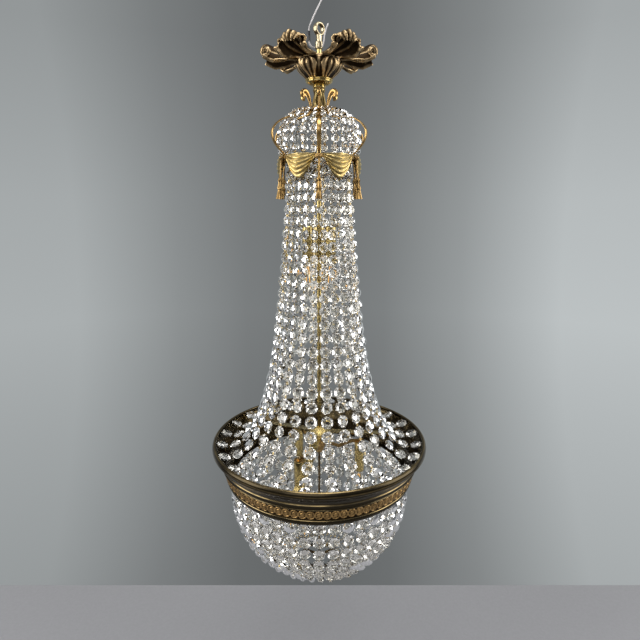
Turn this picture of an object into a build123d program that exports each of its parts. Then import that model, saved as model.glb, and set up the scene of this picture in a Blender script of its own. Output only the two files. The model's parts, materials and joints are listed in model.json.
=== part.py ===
from build123d import *
from math import acos, asinh, cos, cosh, degrees, pi, radians, sin, sinh, sqrt
import os

# Crystal basket chandelier, in millimetres. The origin is the centre of the hanging eye and
# +Z is up, so every level below is a height under the eye. The front is -Y.
# Pieces that repeat round the axis are drawn once in the XZ half-plane and turned into place.

os.makedirs("parts", exist_ok=True)

FRONT = -90.0
BAYS = 6

# ---- driving dimensions ---------------------------------------------------------------

# hanging eye and stem
eye_hole_radius = 8.5
eye_wall = 4.0
eye_width = 10.0
eye_turn = 45.0
eye_neck_length = 12.0
eye_socket_radius = 8.0
eye_socket_length = 12.0
tube_radius = 5.0
tube_wall = 1.0
tube_sides = 12
slip = 0.2
seat_gap = 0.3

# ceiling cup, its leaves, collar and neck, stacked on the stem from the rim down
canopy_rim = -53.0
cup_height = 39.0
cup_radius = 49.0
cup_wall = 5.0
cup_lobe_depth = 3.5
collar_height = 18.0
collar_radius = 28.0
neck_height = 39.0
neck_radius = 14.0
neck_flute_depth = 2.0
disc_radius = 33.0
disc_thickness = 3.0
boss_height = 14.0
boss_radius = 15.3
nut_height = 8.0
nut_radius = 9.0
leaf_reach = 112.0
leaf_half_width = 31.0
leaf_thickness = 2.4
leaf_root_radius = 40.0

# crown: ring, scroll arms, drapery and tassels
crown_level = -242.0
crown_radius = 80.0
crown_ring_width = 22.0
crown_ring_thickness = 3.0
crown_rim_height = 8.0
arm_bulge = 109.0
arm_width = 5.0
arm_thickness = 5.0
swag_drop = 48.0
swag_thickness = 2.0
swag_fullness = 7.0
tassel_length = 84.0
tassel_radius = 8.5
tassel_lean = 6.0

# basket ring, its frieze and its straps
basket_level = -884.0
basket_radius = 250.0
ring_wall = 3.5
lip_height = 9.0
cove_depth = 19.0
cove_height = 27.0
frieze_top = 42.0
frieze_height = 26.0
frieze_slope = 5.0
frieze_recess = 9.0
frieze_thickness = 2.0
frieze_units = 42
ring_height = 82.5
foot_flange = 15.0
flange_thickness = 2.0
strap_width = 20.0
strap_thickness = 3.0
strap_drop = 37.0
strap_turn = -12.0

# crystal strands: counts round the ring, bead pitch at each end of a strand
skirt_count = 24
skirt_pitch = (23.0, 33.0)
skirt_slack = 44.0
skirt_end_height = 5.0
crown_count = 24
crown_pitch = (15.0, 19.0)
crown_dome_radius = 64.0
bowl_count = 42
bowl_pitch = (32.5, 30.0)
bowl_drop = 34.0
bowl_inset = 11.0
bead_gap = 0.7
bead_fill = 0.9
bead_depth = 0.44
most_turn = 50.0

# lamps: three under a plate in the column, three on arms in the basket
lamps = 3
lamp_sides = 8
sleeve_radius = 12.0
sleeve_wall = 1.0
sleeve_length = 74.0
holder_room = 0.6
holder_recess = 2.0
cap_radius = 7.0
cap_length = 24.0
cap_clearance = 0.9
cap_standout = 1.0
glass_radius = 17.5
glass_length = 75.0
glass_steps = [(0.0, 0.4), (0.3, 0.85), (0.55, 1.0), (0.8, 0.6), (1.0, 0.08)]
upper_lamp_drop = 144.0
upper_lamp_radius = 28.0
upper_plate_radius = 42.0
upper_plate_thickness = 3.0
lower_lamp_drop = 10.0
lower_lamp_radius = 97.0
lower_lamp_turn = -27.0
lamp_arm_width = 6.0
lamp_arm_drop = 24.0

# hub at the foot of the stem, rod and gathering ring under the bowl
hub_rise = 15.0
hub_disc_radius = 31.0
hub_disc_thickness = 4.0
hub_dome_height = 16.0
hub_cone_height = 44.0
hub_cone_foot = 9.0
rod_radius = 2.5
rod_socket = 10.0
gather_radius = 45.0
gather_wall = 5.0
gather_thickness = 4.0
finial_height = 16.0
finial_radius = 11.0

# supply wires and their sleeve
wire_radius = 1.4
wire_sleeve_radius = 3.2
wire_sleeve_length = 12.0

# ---- levels and places that follow from them --------------------------------------------

cup_floor = canopy_rim - cup_height
collar_floor = cup_floor - collar_height
neck_floor = collar_floor - neck_height
disc_floor = neck_floor - disc_thickness
boss_floor = disc_floor - boss_height
nut_floor = boss_floor - nut_height
crown_floor = crown_level - crown_ring_thickness
eye_outer_radius = eye_hole_radius + eye_wall
eye_socket_top = -(eye_outer_radius + eye_neck_length)
stem_top = eye_socket_top - eye_socket_length
upper_lamp_level = crown_level - upper_lamp_drop
lower_lamp_level = basket_level - lower_lamp_drop
holder_radius = sleeve_radius - sleeve_wall - holder_room
hub_disc_level = basket_level + hub_rise
hub_disc_top = hub_disc_level + hub_disc_thickness / 2
hub_disc_floor = hub_disc_level - hub_disc_thickness / 2
hub_cone_floor = hub_disc_floor - hub_cone_height
ring_foot = basket_level - ring_height
flange_top = ring_foot + flange_thickness
cove_radius = basket_radius - cove_depth
frieze_seat_radius = cove_radius - frieze_recess
foot_radius = frieze_seat_radius - frieze_slope
bowl_radius = foot_radius - bowl_inset
dome_axis_radius = crown_radius + 6.0 - crown_dome_radius


def polar(radius, angle, height=0.0):
    """The point at this radius, angle from +X in degrees, and height."""
    return Vector(radius * cos(radians(angle)), radius * sin(radians(angle)), height)


def ring_angles(count, start):
    """Equal steps round the axis, in degrees from the front."""
    return [FRONT + start + 360.0 * k / count for k in range(count)]


def level_plane(level, at=(0, 0)):
    """A horizontal plane at this height, its origin over a point of the plan."""
    return Plane(origin=(at[0], at[1], level), x_dir=(1, 0, 0), z_dir=(0, 0, 1))


def regular(sides):
    """Corners of a many-sided outline of radius one, the first on +X."""
    return [(cos(2 * pi * k / sides), sin(2 * pi * k / sides)) for k in range(sides)]


def fluted(flutes, dip, turn=0.0):
    """Corners of an outline of radius one whose edge dips by this share between its flutes."""
    points = []
    for k in range(2 * flutes):
        at = polar(1.0 - dip * (k % 2), 180.0 * k / flutes + turn)
        points.append((at.X, at.Y))
    return points


def spans(levels, outline, at=(0, 0), lean=0.0):
    """A solid with flat sides through one outline, scaled to the radius at each level. The axis
    stands over this point of the plan and moves by lean, along X, from first level to last."""
    first, last = levels[0][0], levels[-1][0]
    corners = []
    for level, radius in levels:
        x = at[0] + lean * (level - first) / (last - first)
        corners += [Vector(x + u * radius, at[1] + v * radius, level) for u, v in outline]
    sides = len(outline)
    faces = [list(range(sides)), list(range(len(corners) - 1, len(corners) - sides - 1, -1))]
    for k in range(len(levels) - 1):
        for i in range(sides):
            a, b = k * sides + i, k * sides + (i + 1) % sides
            faces.append((b, a, a + sides, b + sides))
    return faceted(corners, faces)


def bore(top, floor, radius):
    """What is taken out of a piece for the stem or the rod, many-sided as they are."""
    return spans([(top, radius + slip), (floor, radius + slip)], regular(tube_sides))


def faceted(corners, faces):
    """A closed solid of flat faces over a list of corners."""
    return Solid(Shell([Face(Wire.make_polygon([corners[i] for i in f])) for f in faces]))


def bead(at, along, across, length, width, depth):
    """One cut crystal as a lozenge: a nose at each end of the thread, two edges and two tables."""
    out = along.cross(across)
    corners = [at - along * (length / 2), at + along * (length / 2)]
    corners += [at - across * (width / 2), at + across * (width / 2)]
    corners += [at - out * (depth / 2), at + out * (depth / 2)]
    sides = [(2, 4), (4, 3), (3, 5), (5, 2)]
    noses = [(1, a, b) for a, b in sides] + [(0, b, a) for a, b in sides]
    return faceted(corners, noses)


def graded(pitches, total):
    """A whole number of pitches, graded evenly from first to last, that fills a length."""
    first, last = pitches
    count = round(2 * total / (first + last))
    steps = [first + (last - first) * k / (count - 1) for k in range(count)]
    return [step * total / sum(steps) for step in steps]


def strand(line, pitches, count, side_room=None):
    """Beads nose to tail down a line in the XZ half-plane, each along its own chord. Where a
    full bead is wider than its share of the circle, it hangs turned about its thread, as the
    slats of a blind do."""
    total = line.length
    start, beads = 0.0, []
    for pitch in graded(pitches, total):
        head, tail = line.position_at(start / total), line.position_at((start + pitch) / total)
        at, chord = (head + tail) / 2, tail - head
        room = 2 * pi * at.X / count - bead_gap
        if side_room:
            room = min(room, side_room(at.X))
        width = min(bead_fill * pitch, room / cos(radians(most_turn)))
        turn = degrees(acos(min(1.0, room / width)))
        along = chord.normalized()
        across = Vector(0, 1, 0).rotate(Axis((0, 0, 0), along), turn)
        beads.append(bead(at, along, across, chord.length - bead_gap, width, bead_depth * width))
        start += pitch
    return beads


def sheet(grid, thickness):
    """A thin faceted shell: a grid of points, and the same grid moved back along its normals."""
    rows, columns = len(grid), len(grid[0])
    front, back = [], []
    for i in range(rows):
        for j in range(columns):
            up = grid[min(i + 1, rows - 1)][j] - grid[max(i - 1, 0)][j]
            side = grid[i][min(j + 1, columns - 1)] - grid[i][max(j - 1, 0)]
            front.append(grid[i][j])
            back.append(grid[i][j] - side.cross(up).normalized() * thickness)
    corners, lower = front + back, rows * columns
    triangles = []
    for i in range(rows - 1):
        for j in range(columns - 1):
            a, b = i * columns + j, i * columns + j + 1
            c, d = a + columns, b + columns
            triangles += [(a, b, d), (a, d, c)]
            triangles += [(a + lower, d + lower, b + lower), (a + lower, c + lower, d + lower)]
    edge = [j for j in range(columns)]
    edge += [i * columns + columns - 1 for i in range(1, rows)]
    edge += [(rows - 1) * columns + j for j in range(columns - 2, -1, -1)]
    edge += [i * columns for i in range(rows - 2, 0, -1)]
    for a, b in zip(edge, edge[1:] + edge[:1]):
        triangles += [(a, a + lower, b + lower), (a, b + lower, b)]
    return faceted(corners, triangles)


def tapered_bar(upper, lower):
    """A bar turned with the eye, its four-sided section changing from one level to another."""
    corners = []
    for level, width, depth in (upper, lower):
        for u, v in ((1, 1), (-1, 1), (-1, -1), (1, -1)):
            at = Vector(u * width / 2, v * depth / 2, level).rotate(Axis.Z, eye_turn)
            corners.append(at)
    sides = [(1, 0, 4, 5), (2, 1, 5, 6), (3, 2, 6, 7), (0, 3, 7, 4)]
    return faceted(corners, [(0, 1, 2, 3), (7, 6, 5, 4)] + sides)


# ---- hanging eye: a flat band bent to a ring, tapering into the socket on the stem --------

eye_plane = Plane(origin=(0, 0, 0), x_dir=polar(1, eye_turn), z_dir=polar(1, eye_turn - 90))
eye_flat = eye_outer_radius - eye_wall / 2
with BuildPart() as hanging_loop:
    with BuildSketch(eye_plane):
        RegularPolygon(eye_outer_radius, 2 * tube_sides)
        Circle(eye_hole_radius, mode=Mode.SUBTRACT)
    extrude(amount=eye_width / 2, both=True)
    add(tapered_bar((-eye_flat, eye_flat, 0.8 * eye_width), (eye_socket_top, eye_socket_radius, eye_socket_radius)))
    add(spans([(eye_socket_top, eye_socket_radius), (stem_top, eye_socket_radius)], regular(tube_sides)))
hanging_loop.part.label = "hanging_loop"

# ---- stem: one drawn tube from the eye's socket to the hub ---------------------------------

with BuildPart() as stem_tube:
    with BuildSketch(Plane.XY.offset(stem_top)):
        RegularPolygon(tube_radius, tube_sides)
        RegularPolygon(tube_radius - tube_wall, tube_sides, mode=Mode.SUBTRACT)
    extrude(amount=hub_disc_floor - stem_top)
stem_tube.part.label = "stem_tube"

# ---- ceiling cup: six palmette lobes round an open bowl ------------------------------------

cup_profile = [(0.0, 0.94), (0.5, 1.0), (0.85, 0.88), (1.0, 0.62)]
cup_hollow = cup_radius - cup_lobe_depth - cup_wall
with BuildPart() as canopy_cup:
    levels = [(canopy_rim - d * cup_height, cup_radius * share) for d, share in cup_profile]
    add(spans(levels, fluted(BAYS, cup_lobe_depth / cup_radius, 30.0)))
    hollow = [(canopy_rim, cup_hollow), (canopy_rim - 0.75 * cup_height, cup_hollow * 0.9)]
    add(spans(hollow, regular(2 * BAYS)), mode=Mode.SUBTRACT)
    add(bore(canopy_rim, cup_floor, tube_radius), mode=Mode.SUBTRACT)
canopy_cup.part.label = "canopy_cup"

# ---- ceiling leaves: six arched acanthus leaves on the rim, their tips rolled out and down --------

# share of the reach, rise, share of the width, and how far the edges hang under the middle
leaf_line = [(0.0, 0.0, 0.42, 0.0), (0.25, 5.0, 0.75, 8.0), (0.55, 14.0, 1.0, 25.0)]
leaf_line += [(0.8, 21.0, 0.97, 29.0), (0.96, 18.0, 0.8, 22.0), (1.0, 11.0, 0.55, 12.0)]
leaf_ribs = [(-1.0, 0.0), (-0.5, 2.0), (0.0, 0.0), (0.5, 2.0), (1.0, 0.0)]


def leaf_grid():
    """Stations out along the leaf; across each, the ribs rise off the leaf's own line."""
    span = leaf_reach - leaf_root_radius
    base = canopy_rim + seat_gap
    line = [Vector(leaf_root_radius + out * span, 0, base + rise) for out, rise, _, _ in leaf_line]
    grid = []
    for k, (at, (_, _, share, hang)) in enumerate(zip(line, leaf_line)):
        along = (line[min(k + 1, len(line) - 1)] - line[max(k - 1, 0)]).normalized()
        up = Vector(-along.Z, 0, along.X)
        side = Vector(0, share * leaf_half_width, 0)
        rises = [rib * share - hang * across**2 for across, rib in leaf_ribs]
        grid.append([at + side * across + up * rise for (across, _), rise in zip(leaf_ribs, rises)])
    return grid


with BuildPart() as one_leaf:
    add(sheet(leaf_grid(), leaf_thickness))

with BuildPart() as canopy_leaves:
    with PolarLocations(0, BAYS, start_angle=FRONT + 30):
        add(one_leaf.part)
canopy_leaves.part.label = "canopy_leaves"

# ---- collar and neck under the cup -----------------------------------------------------------

collar_steps = [(0.0, 1.0), (0.35, 0.88), (0.6, 0.9), (1.0, 0.62)]
with BuildPart() as canopy_collar:
    levels = [(cup_floor - d * collar_height, collar_radius * share) for d, share in collar_steps]
    add(spans(levels, regular(2 * BAYS)))
    add(bore(cup_floor, collar_floor, tube_radius), mode=Mode.SUBTRACT)
canopy_collar.part.label = "canopy_collar"

neck_steps = [(0.0, 1.0), (0.3, 0.78), (0.8, 0.95), (1.0, 1.1)]
with BuildPart() as neck_baluster:
    levels = [(collar_floor - d * neck_height, neck_radius * share) for d, share in neck_steps]
    add(spans(levels, fluted(BAYS, neck_flute_depth / neck_radius)))
    add(bore(collar_floor, neck_floor, tube_radius), mode=Mode.SUBTRACT)
neck_baluster.part.label = "neck_baluster"

# ---- crown disc: carries the dome's strands, slotted where the scroll arms pass through ----------

arm_line = [
    (neck_radius + 23.0, neck_floor + 25.0),
    (neck_radius + 23.0, neck_floor + 33.0),
    (neck_radius + 15.0, neck_floor + 33.0),
    (neck_radius + 5.0, neck_floor + 10.0),
    (neck_radius + 5.0, disc_floor + 1.0),
    (neck_radius + 11.0, disc_floor - 9.0),
    (arm_bulge - 60.0, disc_floor - 12.0),
    (arm_bulge - 44.0, disc_floor - 16.0),
    (arm_bulge - 12.0, crown_level + 62.0),
    (arm_bulge, crown_level + 44.0),
    (arm_bulge - 4.0, crown_level + 31.0),
    (crown_radius + 8.0, crown_level + 15.0),
    (crown_radius - 4.0, crown_level - 2.0),
]

with BuildPart() as crown_disc:
    with BuildSketch(Plane.XY.offset(neck_floor)):
        RegularPolygon(disc_radius, 4 * BAYS)
        with PolarLocations(neck_radius + 5.0, BAYS, start_angle=FRONT):
            Rectangle(arm_thickness + 4.0, arm_width + 2 * seat_gap, mode=Mode.SUBTRACT)
    extrude(amount=-disc_thickness)
    add(bore(neck_floor, disc_floor, tube_radius), mode=Mode.SUBTRACT)
crown_disc.part.label = "crown_disc"

with BuildPart() as arm_boss:
    add(spans([(disc_floor, boss_radius), (boss_floor, boss_radius)], regular(2 * BAYS)))
    add(bore(disc_floor, boss_floor, tube_radius), mode=Mode.SUBTRACT)
arm_boss.part.label = "arm_boss"

with BuildPart() as crown_nut:
    add(spans([(boss_floor, nut_radius), (nut_floor, nut_radius)], regular(6)))
    add(bore(boss_floor, nut_floor, tube_radius), mode=Mode.SUBTRACT)
crown_nut.part.label = "crown_nut"

# ---- crown ring: a flat ring with a turned-down rim -------------------------------------------

crown_sides = 4 * BAYS
with BuildPart() as crown_ring:
    with BuildSketch(Plane.XY.offset(crown_level)):
        RegularPolygon(crown_radius, crown_sides)
        RegularPolygon(crown_radius - crown_ring_width, crown_sides, mode=Mode.SUBTRACT)
    extrude(amount=-crown_ring_thickness)
    with BuildSketch(Plane.XY.offset(crown_floor)):
        RegularPolygon(crown_radius, crown_sides)
        RegularPolygon(crown_radius - 2.0, crown_sides, mode=Mode.SUBTRACT)
    extrude(amount=crown_ring_thickness - crown_rim_height)
crown_ring.part.label = "crown_ring"

# ---- scroll arms: from a hooked tip down the neck, over the disc, out and in to the ring -------

with BuildPart() as one_arm:
    with BuildSketch(Plane.XZ):
        with BuildLine() as arm_path:
            Polyline(*arm_line)
        trace(arm_path.line, line_width=arm_thickness)
    extrude(amount=arm_width / 2, both=True)
    split(bisect_by=Plane.XY.offset(crown_level), keep=Keep.TOP)

with BuildPart() as crown_arms:
    with PolarLocations(0, BAYS, start_angle=FRONT):
        add(one_arm.part)
crown_arms.part.label = "crown_arms"

# ---- drapery: six cast swags hooked over the ring between the tassels ---------------------------

swag_half_angle = 25.0
swag_rows = [(0.0, 1.0, 0.5), (0.25, 0.86, 1.0), (0.5, 0.64, 0.6), (0.75, 0.4, 1.0), (1.0, 0.12, 0.5)]
swag_columns = [-1.0, -0.5, 0.0, 0.5, 1.0]


def swag_grid():
    """Rows from the ring down, narrowing to the point; folds hang lowest at the middle."""
    grid = []
    for drop, share, fold in swag_rows:
        row = []
        for across in swag_columns:
            middle = 1.0 - abs(across)
            reach = crown_radius * cos(pi / crown_sides) + seat_gap + slip
            reach += swag_fullness * fold * middle * sin(pi * min(drop + 0.2, 1.0))
            hang = drop * swag_drop * (0.72 + 0.28 * middle)
            point = polar(reach, across * share * swag_half_angle, crown_level - 1.0 - hang)
            row.append(point)
        grid.append(row)
    return grid


with BuildPart() as one_swag:
    add(sheet(swag_grid(), swag_thickness))

with BuildPart() as drapery_swags:
    with PolarLocations(0, BAYS, start_angle=FRONT + 30):
        add(one_swag.part)
drapery_swags.part.label = "drapery_swags"

# ---- tassels: six cast tassels from the ring's rim, leaning out with the strands ----------------

tassel_steps = [(0.0, 0.4), (0.04, 0.8), (0.12, 0.3), (0.48, 0.3), (0.54, 0.75), (0.74, 0.6), (1.0, 1.0)]
tassel_head_radius = crown_radius + seat_gap + 0.75 * tassel_radius
tassel_top = crown_level - 3.0
with BuildPart() as one_tassel:
    levels = [(tassel_top - d * tassel_length, tassel_radius * share) for d, share in tassel_steps]
    add(spans(levels, regular(6), (tassel_head_radius, 0), tassel_lean))

with BuildPart() as tassels:
    with PolarLocations(0, BAYS, start_angle=FRONT):
        add(one_tassel.part)
tassels.part.label = "tassels"

# ---- basket ring: spun ring with lip, cove, frieze seat and a flange that carries the bowl -------

lip_radius = basket_radius - 7.0
lip_in = lip_radius - 2.0
seat_top = basket_level - frieze_top
seat_floor = seat_top - frieze_height
ring_outside = [
    (basket_level + lip_height, lip_radius),
    (basket_level + 2.0, basket_radius),
    (basket_level - 4.0, basket_radius),
    (basket_level - 0.55 * cove_height, cove_radius + 6.0),
    (basket_level - cove_height, cove_radius),
    (seat_top + 1.0, cove_radius - 3.0),
    (seat_top, frieze_seat_radius),
    (seat_floor, foot_radius),
    (seat_floor - 2.0, foot_radius + 2.0),
    (ring_foot, foot_radius + 1.0),
]
ring_inside = [
    (basket_level + lip_height, lip_in),
    (basket_level - 4.0, basket_radius - ring_wall),
    (basket_level - 0.55 * cove_height, cove_radius + 6.0 - ring_wall),
    (basket_level - cove_height, cove_radius - ring_wall),
    (seat_top, frieze_seat_radius - ring_wall),
    (seat_floor, foot_radius - ring_wall),
    (flange_top, foot_radius - ring_wall),
]


def wall_at(level):
    """Distance from the axis to the flats of the ring's inner wall at this level."""
    for (high, out), (low, back) in zip(ring_inside, ring_inside[1:]):
        if low <= level <= high:
            radius = out + (back - out) * (high - level) / (high - low)
            return radius * cos(pi / frieze_units)


with BuildPart() as basket_ring:
    add(spans(ring_outside, regular(frieze_units)))
    add(spans(ring_inside, regular(frieze_units)), mode=Mode.SUBTRACT)
    flange_hole = [(flange_top, foot_radius - foot_flange), (ring_foot, foot_radius - foot_flange)]
    add(spans(flange_hole, regular(frieze_units)), mode=Mode.SUBTRACT)
basket_ring.part.label = "basket_ring"

# ---- frieze: a gilt strip of clasps and leaves round the seat, one flat to each unit ----------------

strip_top = seat_top - 1.0
strip_floor = seat_floor + 1.0
strip_lean = frieze_slope * (strip_top - strip_floor) / frieze_height
strip_radius = frieze_seat_radius + seat_gap - frieze_slope / frieze_height
strip_foot = strip_radius - strip_lean
strip_outside = [(strip_top, strip_radius + frieze_thickness), (strip_floor, strip_foot + frieze_thickness)]
strip_inside = [(strip_top, strip_radius), (strip_floor, strip_foot)]
with BuildPart() as frieze_band:
    add(spans(strip_outside, regular(frieze_units)))
    add(spans(strip_inside, regular(frieze_units)), mode=Mode.SUBTRACT)
frieze_band.part.label = "frieze_band"

# ---- hub: dome, disc and cone on the foot of the stem ----------------------------------------------

with BuildPart() as hub_dome:
    dome_steps = [(0.0, 0.8), (0.45, 0.62), (1.0, 0.32)]
    levels = [(hub_disc_top + d * hub_dome_height, hub_disc_radius * share) for d, share in dome_steps]
    add(spans(levels[::-1], regular(2 * BAYS)))
    add(bore(hub_disc_top + hub_dome_height, hub_disc_top, tube_radius), mode=Mode.SUBTRACT)
hub_dome.part.label = "hub_dome"

with BuildPart() as hub_disc:
    add(spans([(hub_disc_top, hub_disc_radius), (hub_disc_floor, hub_disc_radius)], regular(4 * BAYS)))
    add(bore(hub_disc_top, hub_disc_floor, tube_radius), mode=Mode.SUBTRACT)
hub_disc.part.label = "hub_disc"


def cone_radius(drop):
    """Corner radius of the hub's cone at a depth under the disc: straight, then tapering."""
    taper = max(0.0, drop / hub_cone_height - 0.3) / 0.7
    return 0.72 * hub_disc_radius + (hub_cone_foot - 0.72 * hub_disc_radius) * taper


with BuildPart() as hub_cone:
    cone_drops = (0.0, 0.3 * hub_cone_height, hub_cone_height)
    levels = [(hub_disc_floor - drop, cone_radius(drop)) for drop in cone_drops]
    add(spans(levels, regular(2 * BAYS)))
    add(bore(hub_cone_floor + rod_socket, hub_cone_floor, rod_radius), mode=Mode.SUBTRACT)
hub_cone.part.label = "hub_cone"

# ---- straps: three flat bars from the hub disc to the ring's wall ------------------------------------

strap_start = hub_disc_radius + seat_gap
strap_high = hub_disc_level
strap_low = hub_disc_level - strap_drop
strap_wall = wall_at(strap_low - strap_thickness / 2)
strap_end = sqrt((strap_wall - seat_gap) ** 2 - (strap_width / 2) ** 2)
with BuildPart() as one_strap:
    with BuildSketch(Plane.XZ):
        Polygon(
            (strap_start, strap_high - strap_thickness / 2),
            (strap_end, strap_low - strap_thickness / 2),
            (strap_end, strap_low + strap_thickness / 2),
            (strap_start, strap_high + strap_thickness / 2),
            align=None,
        )
    extrude(amount=strap_width / 2, both=True)

with BuildPart() as ring_straps:
    with PolarLocations(0, lamps, start_angle=FRONT + strap_turn):
        add(one_strap.part)
ring_straps.part.label = "ring_straps"


# ---- lamps: sleeve, holder, and a bulb whose cap turns in the holder -----------------------------------


def lamp_places(radius, start):
    """Vertical axes of the three lamps of one group."""
    return [polar(radius, angle) for angle in ring_angles(lamps, start)]


upper_places = lamp_places(upper_lamp_radius, 60.0)
lower_places = lamp_places(lower_lamp_radius, lower_lamp_turn)


for group, places, top in (
    ("upper", upper_places, upper_lamp_level),
    ("lower", lower_places, lower_lamp_level),
):
    mouth = top - sleeve_length + holder_recess
    cap_top = mouth + cap_length - cap_standout
    glass_top = cap_top - cap_length

    with BuildPart() as sleeves:
        for place in places:
            with BuildSketch(level_plane(top, (place.X, place.Y))):
                RegularPolygon(sleeve_radius, lamp_sides)
                RegularPolygon(sleeve_radius - sleeve_wall, lamp_sides, mode=Mode.SUBTRACT)
        extrude(amount=-sleeve_length)
    sleeves.part.label = group + "_sleeves"
    export_step(sleeves.part, f"parts/{sleeves.part.label}.step")

    with BuildPart() as holders:
        for place in places:
            at = (place.X, place.Y)
            socket = cap_radius + cap_clearance
            add(spans([(top, holder_radius), (mouth, holder_radius)], regular(lamp_sides), at))
            add(spans([(cap_top + 1.0, socket), (mouth, socket)], regular(lamp_sides), at),
                mode=Mode.SUBTRACT)
    holders.part.label = group + "_holders"
    export_step(holders.part, f"parts/{holders.part.label}.step")

    for number, place in enumerate(places, start=1):
        at = (place.X, place.Y)
        with BuildPart() as cap:
            add(spans([(cap_top, cap_radius), (glass_top, cap_radius)], regular(lamp_sides), at))
        cap.part.label = f"{group}_bulb_cap_{number}"
        export_step(cap.part, f"parts/{cap.part.label}.step")

        with BuildPart() as glass:
            flame = [(glass_top - d * glass_length, glass_radius * share) for d, share in glass_steps]
            add(spans(flame, regular(lamp_sides), at))
        glass.part.label = f"{group}_bulb_glass_{number}"
        export_step(glass.part, f"parts/{glass.part.label}.step")

with BuildPart() as upper_lamp_plate:
    plate_top = upper_lamp_level + upper_plate_thickness
    plate = [(plate_top, upper_plate_radius), (upper_lamp_level, upper_plate_radius)]
    add(spans(plate, regular(2 * BAYS)))
    add(bore(plate_top, upper_lamp_level, tube_radius), mode=Mode.SUBTRACT)
upper_lamp_plate.part.label = "upper_lamp_plate"

lamp_arm_root = cone_radius(lamp_arm_drop - lamp_arm_width / 2) + seat_gap
lamp_arm_line = [
    (lamp_arm_root, hub_disc_floor - lamp_arm_drop),
    (lamp_arm_root + 6.0, hub_disc_floor - lamp_arm_drop),
    (lower_lamp_radius - 50.0, hub_disc_floor - 32.0),
    (lower_lamp_radius - 20.0, lower_lamp_level + 3.0),
    (lower_lamp_radius + 6.0, lower_lamp_level + 3.0),
]
with BuildPart() as one_lamp_arm:
    with BuildSketch(Plane.XZ):
        with BuildLine() as lamp_arm_path:
            Polyline(*lamp_arm_line)
        trace(lamp_arm_path.line, line_width=lamp_arm_width)
    extrude(amount=lamp_arm_width / 2, both=True)
    with BuildSketch(level_plane(lower_lamp_level, (lower_lamp_radius, 0))):
        RegularPolygon(sleeve_radius, lamp_sides)
    extrude(amount=3.0)

with BuildPart() as lower_lamp_arms:
    with PolarLocations(0, lamps, start_angle=FRONT + lower_lamp_turn):
        add(one_lamp_arm.part)
lower_lamp_arms.part.label = "lower_lamp_arms"

# ---- rod, gathering ring and finial under the bowl -------------------------------------------------------

bowl_centre = ring_foot - bead_gap - bowl_drop
gather_level = bowl_centre - sqrt(bowl_radius**2 - gather_radius**2)
gather_floor = gather_level - gather_thickness / 2
finial_socket = finial_height / 2

with BuildPart() as bottom_rod:
    with BuildSketch(Plane.XY.offset(hub_cone_floor + rod_socket - slip)):
        RegularPolygon(rod_radius, tube_sides)
    extrude(amount=gather_floor - finial_socket - hub_cone_floor - rod_socket + 2 * slip)
bottom_rod.part.label = "bottom_rod"

with BuildPart() as bottom_ring:
    with BuildSketch(Plane.XY.offset(gather_floor)):
        RegularPolygon(gather_radius - seat_gap, 4 * BAYS)
        RegularPolygon(gather_radius - gather_wall, 4 * BAYS, mode=Mode.SUBTRACT)
        with PolarLocations(gather_radius / 2, lamps, start_angle=FRONT):
            Rectangle(gather_radius - gather_wall, 5.0)
        RegularPolygon(rod_radius + 5.0, 6)
    extrude(amount=gather_thickness)
    add(bore(gather_floor + gather_thickness, gather_floor, rod_radius), mode=Mode.SUBTRACT)
bottom_ring.part.label = "bottom_ring"

with BuildPart() as bottom_finial:
    finial_steps = [(0.0, 0.8), (0.25, 1.0), (0.7, 0.5), (1.0, 0.15)]
    levels = [(gather_floor - d * finial_height, finial_radius * share) for d, share in finial_steps]
    add(spans(levels, regular(2 * BAYS)))
    add(bore(gather_floor, gather_floor - finial_socket, rod_radius), mode=Mode.SUBTRACT)
bottom_finial.part.label = "bottom_finial"

# ---- crystal strands ----------------------------------------------------------------------------------------


def catenary(start, end, slack, steps=16):
    """The hanging line between two points: height is slack times cosh of the run over slack,
    with its lowest point placed so that it meets both ends."""
    run, fall = end[0] - start[0], start[1] - end[1]
    low = (start[0] + end[0]) / 2 + slack * asinh(fall / (2 * slack * sinh(run / (2 * slack))))
    base = end[1] - slack * cosh((low - end[0]) / slack)
    top, bottom = sinh((low - start[0]) / slack), sinh((low - end[0]) / slack)
    points = []
    for k in range(steps + 1):
        radius = low - slack * asinh(top + (bottom - top) * k / steps)
        points.append((radius, base + slack * cosh((low - radius) / slack)))
    return points


skirt_start = (crown_radius - crown_ring_width + 3.0, crown_floor - bead_gap / 2)
skirt_end = (wall_at(basket_level + skirt_end_height), basket_level + skirt_end_height)
with BuildLine(Plane.XZ) as skirt_line:
    Spline(*catenary(skirt_start, skirt_end, skirt_slack))

with BuildPart() as skirt_strands:
    with PolarLocations(0, skirt_count, start_angle=FRONT + 180.0 / skirt_count):
        add(strand(skirt_line.wire(), skirt_pitch, skirt_count))
skirt_strands.part.label = "skirt_strands"

# The dome's strands leave the disc's rim, swell over a quarter circle and come in to the ring.
dome_centre = crown_level + 30.0
dome_start_radius = disc_radius * cos(pi / (4 * BAYS)) + bead_gap / 2
dome_start = degrees(acos((dome_start_radius - dome_axis_radius) / crown_dome_radius))
with BuildLine(Plane.XZ) as crown_line:
    CenterArc((dome_axis_radius, dome_centre), crown_dome_radius, dome_start, -dome_start)
    Line(
        (dome_axis_radius + crown_dome_radius, dome_centre),
        (crown_radius - 1.5, crown_level + bead_gap / 2),
    )


def beside_arm(radius):
    """Room for a dome bead between its own thread and the nearest scroll arm."""
    return 2 * (radius * sin(pi / crown_count) - arm_width / 2 - bead_gap)


with BuildPart() as crown_strands:
    with PolarLocations(0, crown_count, start_angle=FRONT + 180.0 / crown_count):
        add(strand(crown_line.wire(), crown_pitch, crown_count, beside_arm))
crown_strands.part.label = "crown_strands"

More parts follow.
